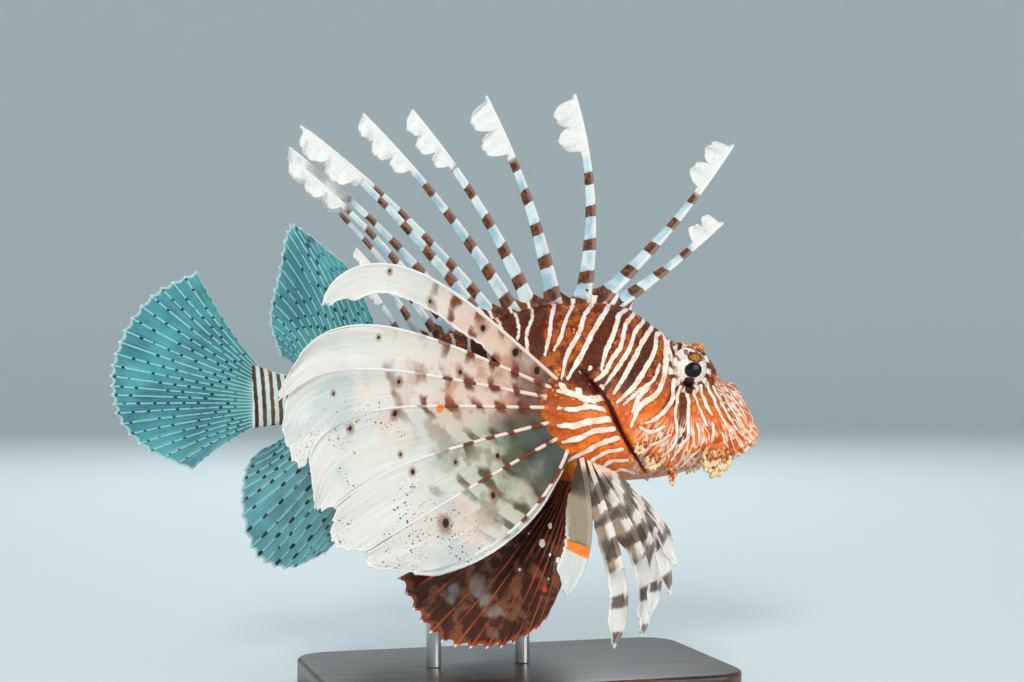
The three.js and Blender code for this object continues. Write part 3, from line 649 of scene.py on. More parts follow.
# %% One skin for the whole body
tip = SNOUT_X - 0.03
stations = np.concatenate([
    np.linspace(TAIL_X, -60, 44), np.linspace(-60, 18, 100)[1:], np.linspace(18, 106, 165)[1:],
    106 + (tip - 106) * np.sin(np.linspace(0, 1, 20) * math.pi / 2)[1:],
])
angles = np.linspace(-math.pi / 2, 1.5 * math.pi, 305)
rings = np.array([skin_ring(x, angles) for x in stations])
bare = np.array([skin_ring(x, angles, bare=True) for x in stations])
for k, x in enumerate(stations):
    rough = 0.16 * float(ease(x, 45, 80)) + 0.3 * float(ease(x, 86, 96))
    if rough > 0.01:
        for m in range(len(angles) - 1):
            p = rings[k, m]
            lump = ripple(1, *(p * 0.45)) + 0.6 * ripple(2, *(p * 1.0))
            rings[k, m] += unit(p - np.array([x, 0, -30.0])) * lump * rough
        rings[k, -1] = rings[k, 0]
tail_cap = np.repeat([[[TAIL_X, 0, -23.0]]], len(angles), axis=1)
snout_cap = np.repeat([[[SNOUT_X - 0.02, 0, SNOUT_Z]]], len(angles), axis=1)
skin_points = np.concatenate([tail_cap, rings, snout_cap])
bare = np.concatenate([bare[:1] * 0, bare, bare[:1] * 0])
run = np.linalg.norm(np.diff(bare, axis=1), axis=2)
run = np.concatenate([np.zeros((len(bare), 1)), np.cumsum(run, axis=1)], axis=1)
left, right = len(angles) // 4, 3 * (len(angles) // 4)
around = np.where(angles <= math.pi / 2, run - run[:, left : left + 1], run[:, right : right + 1] - run)
along = skin_points[..., 0]
skin_paint = {
    "cream": nearness(CREAM, along, around),
    "dark": nearness(DARK, along, around),
    "slit": nearness(GILL_SLIT_SHADE, along, around),
    "pad": ease(along - snout_edge(skin_points[..., 2]), -0.4, 1.2),
}
body = sheet("body_skin", skin_points, spread(along / 20, around / 20), skin_paint, closed=True)
print("body skin", len(body.data.polygons), "faces")

# %% [markdown]
# ## Painted skin
#
# The ground colour is maroon brown along the back and turns to bright orange on the lower
# head and belly. Orange specks are sprinkled over the brown. The strokes lie on top, each
# with a thin dark edge, as in life. Small scales are bumps of a Voronoi texture, since they
# are far too small and too many to model.

# %% Painted skin
box = PaintBox("lionfish_skin")
x, y, z = box.split(box.place)
wobble = (box.cloud(380, 2) - 0.5) * 1.2
fine = (box.cloud(1300, 2) - 0.5) * 0.45
unsteady = wobble + fine
up = (z - LIFT / 1000) * 1000
ahead = x * 1000
# brown above, orange low on the head, dull brown on the tail's stalk
mottle = box.cloud(210, 4)
brown = blend(mottle.soft(0.38, 0.62), "6a260c", "b45a22")
lower = blend(mottle.soft(0.38, 0.62), "fb7d1a", "cf561a")
lowness = (up + wobble * 3).soft(-14, -34)
lowness = lowness * ahead.soft(-5, 30)
ground = blend(lowness, brown, lower)
blush = up.soft(-46, -58) * ahead.soft(30, 50)
ground = blend(blush * 0.6, ground, "d98a63")
ground = blend(ahead.soft(-15, -60), ground, "55301f")
ground = blend(ahead.soft(-70, -95) * 0.7, ground, "63552f")
specks = box.spots(400).soft(0.42, 0.2)
patchy = box.cloud(90, 2).soft(0.44, 0.58)
ground = blend(specks * (patchy * 0.85), ground, "f08a3c")
grains = box.cloud(900, 2).soft(0.53, 0.66) * 0.5
grains = grains * (1 - lowness * 0.75)
ground = blend(grains, ground, "4d1f0e")
dark = (box.paint("dark") + unsteady).soft(0.9, -0.9)
ground = blend(dark * 0.88, ground, "481b0d")
u = ahead - EYE["x"]
w = up - EYE["z"]
away = compute("SQRT", u ** 2 + w ** 2)
bearing = compute("ARCTAN2", w, u)
# pale squiggles that run down the face: level lines of a noise field, drawn out from the eye
fan_out = box.join(bearing * 14, y * 180, away * 0.13)
doodle = box.cloud(1.0, 1.2, fan_out)
doodle = compute("ABSOLUTE", doodle - 0.5)
jaw = up.soft(-31, -40) * ahead.soft(42, 54)
jaw = jaw * up.soft(-61, -53)
ground = blend(box.paint("pad") * 0.4, ground, "dc8a5c")
squiggle = doodle.soft(0.068, 0.04) * most(box.paint("pad"), jaw)
ground = blend(squiggle * 0.9, ground, "fbdcc8")
lips = ahead.soft(104, 110) * 0.55
ground = blend(lips, ground, "f6b890")
turned = bearing * 11 + away * 0.35
spoke = sine(turned + wobble * 3)
near_eye = (away + wobble).soft(11.6, 10.6) * ahead.soft(40, 50)
spokes = blend(spoke.soft(-0.5, 0.4), "5e2817", "f3dccb")
ground = blend(near_eye, ground, spokes)
cream_edge = box.paint("cream") + unsteady
halo = cream_edge.soft(0.9, 0.15) * 0.4
ground = blend(halo, ground, "5a2210")
under = ((w + 8.3) / 2.5) ** 2
under = under + ((u + 1.4) / 2.2) ** 2
under = (under + wobble).soft(1.25, 0.85) * ahead.soft(40, 50)
# the tail's stalk has narrow, even stripes next to the caudal fin
stripe = ahead * 1.9 + (wobble + up) * 0.12
stripe = sine(stripe + wobble).soft(-0.3, 0.15)
stripe = stripe * ahead.soft(-90.5, -92)
cream = most(cream_edge.soft(0.16, -0.2), stripe)
cool = blend(up.soft(-8, 12), "fdeadb", "e6e6ea")
cool = blend(ahead.soft(-50, -80), cool, "cfe0dc")
tint = box.cloud(260, 3).soft(0.4, 0.75) * ahead.soft(-95, -60)
tint = blend(tint, cool, "edb893")
ground = blend(cream, ground, tint)
ground = blend(under, ground, "3d140c")
# painted shade: the gill slit is darkened as the shadow inside its groove
slit = (box.paint("slit") + fine).soft(0.4, -0.4)
ground = blend(slit, ground, "4a0f0c")
scales = box.spots(760)
pores = box.cloud(600, 3)
height = scales * 0.7 + pores * 0.6
box.relief(height, 0.0005, 0.5)
gloss = 0.3 + pores * 0.18
skin = box.finish(ground, gloss, Specular_IOR_Level=0.25, Coat_Weight=0.08, Coat_Roughness=0.2)
dress(body, skin, "skin", "head", "torso", "tail_stalk")
print("skin paint", len(box.tree.nodes), "nodes")

# %% [markdown]
# ## Eyes
#
# A fish's eye is a flattened ball that hardly shows a lid, and it sits deep in the rim of
# its socket. It stays a piece of its own. The pupil bulges a little through the iris, so
# the ball has a low dome there. The white iris, its gold and brown patches and its fine
# marks are painted round the pupil from the side view's own coordinates.

# %% Eyes
PUPIL = (74.9, -12.5)  # x and z of its middle


def eyeball(name, side):
    bm = bmesh.new()
    bmesh.ops.create_uvsphere(bm, u_segments=96, v_segments=64, radius=1)
    bmesh.ops.rotate(bm, verts=bm.verts, matrix=Matrix.Rotation(math.pi / 2, 3, "X"))
    for v in bm.verts:
        p = Vector((v.co.x * EYE["radius"], v.co.y * EYE["depth"], v.co.z * EYE["radius"]))
        dome = 0.55 * math.exp(-((math.hypot(p.x - 1, p.z + 0.3) / 4.2) ** 4)) * (v.co.y * side > 0)
        p += Vector((EYE["x"], side * (EYE["y"] + dome), EYE["z"] + LIFT))
        v.co = p / 1000
    return settle(bm, name)


box = PaintBox("fish_eye")
x, y, z = box.split(box.place)
u = (x - PUPIL[0] / 1000) * 1000
w = (z - (PUPIL[1] + LIFT) / 1000) * 1000
oval = (u * 0.86) ** 2
away = compute("SQRT", oval + w ** 2)
bearing = compute("ARCTAN2", w, u)
rays = box.cloud(3, 3, box.join(bearing * 2.2, away * 0.25))
iris = blend(rays.soft(0.55, 0.75), "efe7dd", "b98a7c")
flecks = box.cloud(1500, 2)
iris = blend(flecks.soft(0.58, 0.7), iris, "c9a596")
uneven = (box.cloud(420, 3) - 0.5) * 1.2


def patch(centre_u, centre_w, half_u, half_w):
    """How far a place is from the middle of an uneven oval patch, in half widths."""
    du = (u - centre_u) / half_u
    dw = (w - centre_w) / half_w
    off = du ** 2 + dw ** 2
    return compute("SQRT", off) + uneven


barred = sine(bearing * 11 + uneven * 5)
outer = barred.soft(0.1, 0.6) * away.soft(5.2, 7.0)
iris = blend(outer * 0.8, iris, "6e3420")
gold = blend(box.cloud(900, 2), "7a4213", "cf8f3c")
above = patch(1.3, 5.4, 3.3, 2.3)
iris = blend(above.soft(1.2, 1.0), iris, "51250f")
iris = blend(above.soft(0.95, 0.6), iris, gold)
iris = blend(patch(-1.3, -5.5, 2.5, 2.9).soft(1.15, 0.9), iris, "3d140c")
iris = blend(away.soft(3.6, 3.35), iris, "8a6a50")
iris = blend(away.soft(3.35, 3.15), iris, "08060f")
eye_paint = box.finish(iris, 0.2, Specular_IOR_Level=0.2, Coat_Weight=0.2, Coat_Roughness=0.05)
for side, word in ((-1, "right"), (1, "left")):
    dress(eyeball(f"painted_eye_{word}", side), eye_paint, "eye", f"eye_{word}")
print("eye", EYE["radius"] * 2, "mm across")

# %% [markdown]
# ## Frilled flaps of skin
#
# Lionfish wear leafy tabs at the corner of the mouth and along the cheek, and a short
# tentacle over each eye. Each is one small sheet that widens from its root into lobes, with
# a wavy margin. They are cast thin and painted cream at the edge, so the same paint runs
# from the root to the frill on all of them.

# %% Frilled flaps of skin
FLAPS = [
    ((86.8, 13.2, -47), -93, 15.5, 15, 7), ((56.6, 18, -49), -112, 8.5, 7.5, 5),
    ((51, 19.6, -43), -120, 7.5, 6, 4), ((66, 14.5, -54.5), -92, 10, 3.4, 2),
    ((79.5, 7.6, -4.2), 78, 4.6, 7.5, 4),
]


def flap(name, side, root, heading, length, width, lobes):
    across, rows = 16 * lobes, 34
    f = np.linspace(-0.5, 0.5, across + 1)[:, None]
    t = np.linspace(0, 1, rows + 1)[None, :]
    place = (f + 0.5) * lobes + 0.35 * np.sin(f * 9 + lobes)
    scallop = np.abs(np.sin(place * math.pi))
    lobe = 1 - (0.14 * (1 - scallop) + 0.06 * np.sin(f * 23 + lobes)) * ease(t, 0.5, 1)
    fan = f * mix(0.45, 1.0, np.sin(t * math.pi / 2))
    aside = width * fan * (1 - 0.25 * ease(t, 0.75, 1) * (2 * f) ** 2)
    reach = length * (t * lobe * (1 - 1.3 * f * f) - 0.2)
    ruffle = t ** 2 * (np.sin(place * 2 * math.pi + 2 * t) + 0.4 * np.sin(f * 70 + t * 9))
    frill = t * 1.5 - 1.8 * (1 - ease(t, 0, 0.3)) + ruffle * min(1, width / 8)
    dx, dz = turn(heading)
    x, z = root[0] + dx * reach - dz * aside, root[2] + dz * reach + dx * aside
    places = spread(x, side * (root[1] + frill), z)
    paint = {"lobes": lobes, "pale": heading < 0}
    return sheet(name, places, spread(f + 0.5, t), paint, mix(2.0, 0.8, t ** 1.5))


def frills(name, side, root, heading, length, width, lobes):
    """A cluster of three frills on one root, the longest at the back; a flap up to 5 mm wide gets one
    frill.
    """
    layers = [(0, 1.0, 1.0, 0, 0), (13, 0.74, 0.62, 1.3, 1.5), (-15, 0.68, 0.6, 1.0, -1.7)]
    made = []
    for swing, longer, wider, out, shift in layers[: 3 if width > 5 else 1]:
        place = (root[0] + shift * width / 15, root[1] + out * width / 15, root[2])
        count = max(2, round(lobes * wider))
        made.append(flap(name, side, place, heading + swing, length * longer, width * wider, count))
    return fuse(name, made) if len(made) > 1 else made[0]


box = PaintBox("flap_paint")
u, v, _ = box.split(box.uv)
lines = sine(u * box.paint("lobes") * 12.566)
mess = box.cloud(650, 3)
edge = (v + mess * 0.6).soft(1.0, 1.2)
edge = edge * (box.paint("pale") * 0.75 + 0.25)
ring = sine((v + mess) * 19)
centre = blend(mess.soft(0.42, 0.6), "9c4422", "e69a58")
centre = blend(ring.soft(0.3, 0.9) * 0.55, centre, "6e2c14")
lines = lines + (mess - 0.5) * 5
centre = blend(lines.soft(0.4, 1.0) * 0.5, centre, "f2cfa2")
base = v.soft(0.35, 0.1)
centre = blend(base, centre, "d9793f")
box.relief(mess, 0.0005, 0.5)
flap_paint = box.finish(blend(edge, centre, "f8ddb2"), 0.45, Specular_IOR_Level=0.3)
for side, word in ((-1, "right"), (1, "left")):
    for k, row in enumerate(FLAPS):
        dress(thicken(frills(f"flap_{word}_{k + 1}", side, *row)), flap_paint, "skin")
print("flaps", len(FLAPS) * 2)

# %% [markdown]
# ## Dorsal spines with their flags
#
# Thirteen stiff spines stand free along the back. Each is a slim rod with a strap of skin
# behind it, banded in brown, that ends in a white, crinkled flag. One sheet makes both:
# its first columns are the round rod, the others the strap. A shop would mould each spine
# in clear resin and tint it; the material gives the tint but stays opaque.

# %% Dorsal spines with their flags
SINK = 3.0  # mm that a fin's root goes into the body
# root x, first heading, bend, length, strap width, flag width, lean
SPINES = [
    (49.5, 35, 6, 61, 5, 5, 3), (41.5, 44, 13, 91, 5.4, 6, -3), (34, 80, 27, 92, 6, 8, 2),
    (21.3, 104, 15, 95, 6, 7, -2), (10.5, 115, 16, 100, 5.4, 5.4, 3),
    (2.6, 124, 13, 108, 5, 5.6, -3), (-6, 130, 13, 114, 4.4, 5.4, 4),
    (-11.5, 129, 14, 115, 4.4, 5.4, -4), (-18.6, 129, 14, 108, 4, 4.6, 4),
    (-25.5, 128, 15, 102, 3.8, 4, -4), (-32, 124, 16, 97, 3, 2.4, 3),
    (-39, 121, 14, 50, 3.2, 2.2, -2), (-46.5, 117, 12, 32, 3.2, 1.4, 0),
]


# lobes of a flag: place and half length as shares of the spine, width as a share of the flag's
BROAD = [(0.795, 0.06, 1.15), (0.915, 0.062, 1.1)]
NARROW = [(0.765, 0.038, 0.8), (0.852, 0.048, 1.1), (0.945, 0.048, 0.8)]


def strap_width(t, strap, flag, lobes):
    taper = mix(1.15, 0.62, ease(t, 0, 0.72)) + np.exp(-t / 0.045)
    base = strap * taper * (1 - ease(t, 0.95, 1) * 0.6)
    petals = [wide * np.clip(1 - ((t - at) / half) ** 2, 0, 1) ** 0.42 for at, half, wide in lobes]
    return base + flag * np.max(petals, axis=0)


def spine(number, x, heading, bend, length, strap, flag, lean):
    rows = 240
    t = np.linspace(0, 1, rows + 1)
    s = t * (length + SINK)
    angle = np.radians(heading + bend * np.maximum(0, (s - SINK) / length))
    start = math.radians(heading)
    ds = s[1] - s[0]
    mid = (angle[1:] + angle[:-1]) / 2
    px = x - math.cos(start) * SINK + np.concatenate([[0], np.cumsum(np.cos(mid) * ds)])
    pz = float(back_line(x)) - math.sin(start) * SINK
    pz = pz + np.concatenate([[0], np.cumsum(np.sin(mid) * ds)])
    rod = mix(2.1, 0.7, t)
    ragged = np.array([
        ripple(number, k * 0.07) * 0.4 + ripple(number, k * 0.2, 4) * 0.3 for k in range(rows + 1)
    ])
    flagged = ease(t, 0.68, 0.73) * (1 - ease(t, 0.97, 1))
    petal = strap_width(t, 0, flag, BROAD if number in (1, 2, 3, 4, 8) else NARROW)
    curds = np.abs(np.sin(s / 1.3 + number)) * 0.8 + np.abs(np.sin(s / 0.6 + number)) * 0.3 - 0.5
    width = strap_width(t, strap, 0, BROAD) + petal + ragged * (0.3 + 0.3 * flagged)
    width = width + curds * flagged * np.minimum(1, petal / 3)
    width = np.maximum(width, rod * 1.3)
    on_rod = np.array([0, 0.12, 0.3, 0.5, 0.7, 0.88])[:, None]
    beyond = np.linspace(0, 1, 9)[:, None]
    d = np.concatenate([on_rod * rod, rod + (width - rod) * beyond])
    out = np.clip((d - rod) / np.maximum(width - rod, 0.1), 0, 1)
    crinkle = np.sin(s / 1.9 + number) + 0.6 * np.sin(s / 0.95 + 2 * number + 3 * out)
    crinkle = flagged * out * crinkle + 0.3 * out * np.sin(s / 3.1 + number)
    y = math.sin(math.radians(lean)) * s + crinkle * min(1.0, flag / 4)
    places = spread(px - np.sin(angle) * d, y, pz + np.cos(angle) * d)
    across = np.clip(d / rod, 0, 1)
    thick = np.maximum(rod * np.sqrt(np.clip(1 - (2 * across - 1) ** 2, 0, 1)), 0.42)
    uv = spread(d / 10, s / 10)
    paint = {"t": t, "out": out, "flag": flagged, "number": number, "cream": 9.0,
             "rod": ease(d, rod * 1.25, rod * 0.9)}
    return sheet(f"spine_{number}", places, uv, paint, thick)


def back_web():
    first, last = SPINES[0][0] + 3, SPINES[-1][0] - 3
    x = np.linspace(first, last, 321)[:, None]
    v = np.linspace(0, 1, 9)[None, :]
    near = np.min([np.abs(x - row[0]) for row in SPINES], axis=0)
    edge = np.minimum(1, np.minimum(first - x, x - last) / 5)
    height = (1.0 + 4.0 * np.exp(-near / 2.6)) * edge + 0.3
    z = back_line(x) - SINK + (SINK + height) * v
    heading = np.interp(x, [row[0] for row in SPINES[::-1]], [row[1] for row in SPINES[::-1]])
    lean = height * v * np.clip(np.cos(np.radians(heading)) / np.sin(np.radians(heading)), -1.4, 1.4)
    y = 0.5 * np.sin(x / 2.3) * v
    stroke = np.interp(x, stations, skin_paint["cream"][1:-1, len(angles) // 2])
    paint = {"t": 0.02 * v, "out": 0.5, "flag": 0.0, "rod": 0.0, "number": 14.0, "cream": stroke}
    return sheet("web", spread(x + lean, y, z), spread(x / 10, v * 0.7), paint, mix(1.5, 0.7, v))


box = PaintBox("spine_paint")
u, s, _ = box.split(box.uv)
t, number = box.paint("t"), box.paint("number")
drift = (box.cloud(260, 2) - 0.5) * 1.1
beat = s * 4.33 + number * 2.6
beat = sine(beat + (drift + u * 0.9))
fade = t.soft(0.73, 0.7)
bands = beat.soft(0.28, 0.5) * fade
foot = (t + drift * 0.04).soft(0.065, 0.035)
strap = blend(box.cloud(120, 2).soft(0.35, 0.65), "8fb1c0", "c6d5da")
strap = blend(bands, strap, blend(box.cloud(600, 3).soft(0.35, 0.65), "341806", "74401a"))
footing = blend(box.cloud(330, 3).soft(0.4, 0.6), "45200f", "7e4728")
strap = blend(foot, strap, footing)
strap = blend((box.paint("cream") + drift).soft(0.3, -0.2), strap, "e9dcd2")
strap = blend(box.paint("flag") * 0.9, strap, "e3e2df")
lace = box.cloud(900, 3).soft(0.56, 0.66)
lace = lace * (box.paint("flag") * 0.35)
strap = blend(lace, strap, "b9a7a0")
shaft = box.paint("rod") * 0.6
strap = blend(shaft, strap, blend(bands * 0.8, "ece9e8", "8a4a30"))
box.relief(box.cloud(1100, 3), 0.0003, 0.4)
spine_paint = box.finish(strap, 0.4, Specular_IOR_Level=0.3)
spines = [spine(k + 1, *row) for k, row in enumerate(SPINES)] + [back_web()]
dress(thicken(fuse("dorsal_spines", spines)), spine_paint, "spines", "spiny_dorsal_fin")
print("spines", len(SPINES))

# %% [markdown]
# ## Fan fins
#
# The soft dorsal, anal, caudal and pelvic fins are rays with a clear membrane between. The
# columns of each sheet stand close together at a ray, to make its round ridge, and far
# apart between rays. Every point knows how far it is from the nearest ray and from the
# margin, in millimetres, so that rays and spots can be painted at their true size.

# %% Fan fins
BESIDE_RAY = [0, 0.28, 0.5, 0.75]  # mm from a ray's middle


def bowed_ray(root, tip, bow):
    (x0, z0), (x1, z1) = root, tip
    length = math.hypot(x1 - x0, z1 - z0)

    def ray(t):
        lift = bow * 4 * t * (1 - t)
        x = mix(x0, x1, t) - (z1 - z0) / length * lift
        z = mix(z0, z1, t) + (x1 - x0) / length * lift
        return spread(x, 0, z)

    return ray


def dots_near(places, across, t, dots):
    """How far each point is from the nearest painted dot's middle, in radii of that dot."""
    nearest = np.full(across.shape, 9.0)
    for dot_across, dot_t, radius in dots:
        middle = np.argmin(np.abs(across - dot_across) + np.abs(t - dot_t) * 20)
        off = (places - places.reshape(-1, 3)[middle]) * np.array([1.3, 1, 0.95])
        nearest = np.minimum(nearest, np.linalg.norm(off, axis=-1) / radius)
    return nearest


def fan_fin(name, rays, scallop, sway, seed, ridge=0.8, rows=90, fray=0.008, dots=()):
    """One sheet over all the rays, each ray raised and each gap's margin scalloped."""
    t = np.linspace(0, 1, rows + 1)
    shares = []
    for i in range(len(rays) - 1):
        a, b = rays[i](t), rays[i + 1](t)
        gap = np.linalg.norm(b - a, axis=1)
        stops = [np.minimum(m * ridge, gap * 0.12 * k) / gap for k, m in enumerate(BESIDE_RAY)]
        inner = [mix(stops[-1], 1 - stops[-1], f) for f in (0.33, 0.67)]
        shares += [(i, f) for f in stops + inner + [1 - f for f in stops[:0:-1]]]
    shares.append((len(rays) - 2, 1 + 0 * t))
    places, ray_mm, edge, number = [], [], [], []
    for i, f in shares:
        middle = float(f[-1])
        torn = fray * (ripple(seed, i * 3.1 + middle * 4) + ripple(seed + 1, i * 9 + middle * 13))
        dip = scallop * 4 * middle * (1 - middle) + abs(torn) * (0.15 < middle < 0.85)
        reach = t * (1 - dip)
        a, b = rays[i](reach), rays[i + 1](reach)
        p = mix(a, b, f[:, None])
        places.append(p + sway(p, reach, i + f))
        gap = np.linalg.norm(b - a, axis=1)
        ray_mm.append(np.minimum(f, 1 - f) * gap)
        edge.append((1 - t) * np.linalg.norm(a[-1] - a[0]))
        number.append(i + f)
    places, ray_mm = np.array(places), np.array(ray_mm)
    swell = np.clip(1 - (ray_mm / (0.7 * ridge)) ** 2, 0, 1) ** 0.5
    thick = mix(0.4, mix(1.5, 0.6, t), swell)
    uv = spread(np.array(number), t)
    paint = {"ray": ray_mm / ridge, "edge": np.array(edge), "t": t}
    for key, marks in (("spot", dots[:-1]), ("ember", dots[-1:])):
        paint[key] = dots_near(places, uv[..., 0], uv[..., 1], marks)
    return thicken(sheet(name, places, uv, paint, thick))


def billow(amount, beat):
    """A gentle wave across the fin, greatest at its margin."""
    return lambda p, t, n: spread(0, amount * t ** 1.5 * np.sin(n * beat), 0)


def curve_pair(xs, zs):
    x, z = through(xs), through(zs)
    return lambda i: (float(x(i)), float(z(i)))


soft_tip = curve_pair([(0, -76), (3, -96.8), (6, -103), (8, -106), (10, -101.5)],
                      [(0, 34), (3, 49.3), (6, 27), (8, 10), (10, -6)])
anal_tip = curve_pair([(0, -83), (2, -98), (4, -112), (6, -118), (8, -116), (9, -110)],
                      [(0, -89), (2, -95), (4, -89), (6, -68), (8, -52), (9, -45)])
caudal_tip = curve_pair(
    [(0, -136), (2, -153), (4, -166), (6, -170.9), (8, -169), (10, -158), (12, -138)],
    [(0, 29), (2, 20), (4, 3), (6, -14), (8, -28), (10, -43), (12, -53)])
soft_rays = [bowed_ray((x, float(back_line(x)) - SINK), soft_tip(i), -3)
             for i, x in zip(np.linspace(0, 10, 19), np.linspace(-58, -95, 19))]
anal_rays = [bowed_ray((x, float(belly_line(x)) + SINK), anal_tip(i), 2)
             for i, x in zip(np.linspace(0, 9, 17), np.linspace(-51, -93, 17))]
caudal_rays = [bowed_ray((TAIL_X + SINK, z), caudal_tip(i), 1.5 - 0.25 * i)
               for i, z in zip(np.linspace(0, 12, 23), np.linspace(-11, -34.5, 23))]


def clear_fin_paint(name, dots, spot_size, spot_colour):
    """Teal glassy membrane, pale dashed rays and rows of dark spots."""
    box = PaintBox(name)
    n, v, _ = box.split(box.uv)
    nearest = compute("ROUND", n)
    stagger = nearest % 2 * 0.5
    dash = v * dots + stagger
    dash = dash + box.cloud(90, 2) * 0.6
    place = (compute("FRACT", dash) - 0.5) * 5.8
    place = compute("ABSOLUTE", place) ** 2 + box.paint("ray") ** 2
    on_ray = box.paint("ray").soft(0.5, 0.25) * 0.7
    film = blend(box.cloud(70, 3).soft(0.3, 0.7), "0c7484", "3fa3ab")
    glint = box.cloud(5, 2, box.join(n * 3, v * 0.6)).soft(0.5, 0.75)
    film = blend(glint * 0.4, film, "a9d6d6")
    colour = blend(on_ray, film, "a8dbd9")
    mark = place.soft((spot_size * 1.12) ** 2, (spot_size * 0.88) ** 2)
    mark = mark * v.soft(0.12, 0.2)
    mark = mark * box.cloud(170, 1).soft(0.4, 0.46)
    colour = blend(mark, colour, spot_colour)
    margin = box.paint("edge").soft(1.6, 0.4)
    colour = blend(margin * 0.6, colour, "e3f1ef")
    foot = (v + box.cloud(200, 2) * 0.12).soft(0.17, 0.08)
    colour = blend(foot * 0.8, colour, "c3ddd2")
    clear = 0.66 + on_ray * 0.3
    clear = most(clear, mark * 0.95)
    clear = most(clear, foot * 0.95)
    clear = most(clear, margin * 0.75)
    return box.finish(colour, 0.35, Specular_IOR_Level=0.25, Alpha=clear)


SCALLOP = 0.02  # how deep the margin dips between rays, as a share of their length
# name, rays, wave, seed, then the spots in a row, their size and their colour
CLEAR_FINS = [
    ("soft_dorsal", soft_rays, billow(1.2, 0.5), 11, 8.0, 0.75, "1d2f2c"),
    ("anal", anal_rays, billow(1.2, 0.6), 21, 7.0, 0.95, "14262a"),
    ("caudal", caudal_rays, billow(1.4, 0.45), 31, 10.0, 0.7, "14323a"),
]
for name, rays, wave, seed, *spots in CLEAR_FINS:
    clear_paint = clear_fin_paint(f"{name}_paint", *spots)
    dress(fan_fin(name, rays, SCALLOP, wave, seed), clear_paint, "clear_fin", f"{name}_fin")
print("clear fins", len(CLEAR_FINS))

# %% [markdown]
# ## Pelvic fins
#
# The pelvic fins hang below the breast, dark maroon with white spots and a saw-toothed
# margin. The far one is held a little further forward. They are fan fins as well.

# %% Pelvic fins
PELVIC = {"x": 23, "z": -58, "y": 8, "splay": 0.27}
# Painted dots: ray number, share of its length, radius in mm. The last one is orange red.
PELVIC_DOTS = [
    (12.1, 0.29, 1.1), (7, 0.29, 1.3), (7, 0.39, 1.8), (12.4, 0.4, 0.7), (8.1, 0.54, 0.7),
    (3.2, 0.54, 1.3),
    (10, 0.34, 0.6), (5, 0.47, 0.8), (3.9, 0.64, 0.6), (3.9, 0.71, 1.4),
]
pelvic_tip = curve_pair([(0, 13), (1, 2), (2, -15), (3, -35), (4, -50), (5, -59)],
                        [(0, -105), (1, -120.5), (2, -126.5), (3, -125), (4, -114), (5, -96)])


def pelvic_fin(word, side):
    (c, s), size = (turn(11), 0.86) if side > 0 else (turn(0), 1)
    rays = []
    for i in np.linspace(0, 5, 16):
        tx, tz = pelvic_tip(i)
        dx, dz = tx - PELVIC["x"], tz - PELVIC["z"]
        tip = (PELVIC["x"] + (dx * c - dz * s) * size, PELVIC["z"] + (dx * s + dz * c) * size)
        rays.append(bowed_ray((PELVIC["x"] + 3 - i * 1.6, PELVIC["z"] + i * 0.2), tip, 2))

    def sway(p, t, n):
        away = np.hypot(p[..., 0] - PELVIC["x"], p[..., 2] - PELVIC["z"])
        out = side * (PELVIC["y"] + away * PELVIC["splay"] + 1.2 * t ** 2 * np.sin(n * 1.1))
        return spread(0, out, 0)

    return fan_fin(f"pelvic_{word}", rays, 0.03, sway, 41, ridge=1.0, fray=0.012, dots=PELVIC_DOTS)


box = PaintBox("pelvic_paint")
n, v, _ = box.split(box.uv)
mottle = box.cloud(140, 3)
outward = (v + mottle * 0.4).soft(0.45, 0.95)
dark = blend(outward, "190c08", "432419")
blotch = mottle.soft(0.5, 0.62) * v.soft(0.25, 0.55)
dark = blend(blotch * 0.75, dark, "80513a")
grey = box.cloud(75, 2).soft(0.56, 0.68) * v.soft(0.4, 0.6)
dark = blend(grey * 0.55, dark, "a39a96")
streak = box.cloud(2.2, 2, box.join(n * 1.3, v * 2))
on_ray = box.paint("ray").soft(0.7, 0.35)
red = on_ray * streak.soft(0.42, 0.62)
dark = blend(red * 0.75, dark, "b5532f")
dark = blend(box.paint("spot").soft(1.1, 0.9), dark, "f4f0ec")
dark = blend(box.paint("ember").soft(1.2, 0.7), dark, "e0451a")
margin = (box.paint("edge") + mottle * 2).soft(2.9, 1.6)
dark = blend(margin * 0.8, dark, "a8442c")
white_tip = box.paint("edge").soft(1.3, 0.7) * on_ray
dark = blend(white_tip, dark, "f3ece8")
box.relief(box.cloud(900, 3), 0.0003, 0.3)
pelvic_paint = box.finish(dark, 0.45, Specular_IOR_Level=0.12)
for side, word in ((-1, "right"), (1, "left")):
    dress(pelvic_fin(word, side), pelvic_paint, "pelvic_fin", f"pelvic_fin_{word}")
print("pelvic fins", 2)

# %% [markdown]
# ## Pectoral fins
#
# These are the fish's great fans. Each has fourteen rays. The upper seven carry wide vanes
# that join their neighbours for most of their length. The lower seven curl free, with
# narrow vanes. Each ray and its vane is one sheet, and the sheets are fused in two groups,
# like the solids they stand for.

# %% Pectoral fins
# heading, bend, curl power, length, splay, vane width, share joined to the next ray
PECTORAL = [
    (38.2, -120, 4, 128, 12, 12, 0.2), (21.3, -80, 4.5, 122, 13, 15, 0.92),
    (10.4, -64, 5, 124, 14, 17, 0.92),
    (2, -105, 5.5, 122, 15, 17, 0.95), (-11, -32, 3.5, 107, 17, 17, 1), (-22, -6, 1, 101, 20, 17, 1),
    (-60, 58, 1, 90, 24, 3, 0), (-91, 58, 2.2, 58, 29, 11, 0), (-99, 62, 4, 73, 33, 7.5, 0.4),
    (-112, 74, 3, 68, 37, 6.5, 0.7), (-122, 84, 2.2, 60, 41, 5.5, 0.6), (-126, 62, 2, 50, 45, 5, 0.6),
    (-128, 42, 2, 38, 49, 4, 0.5), (-129, 24, 2, 28, 52, 3, 0.5),
]
UPPER = 7
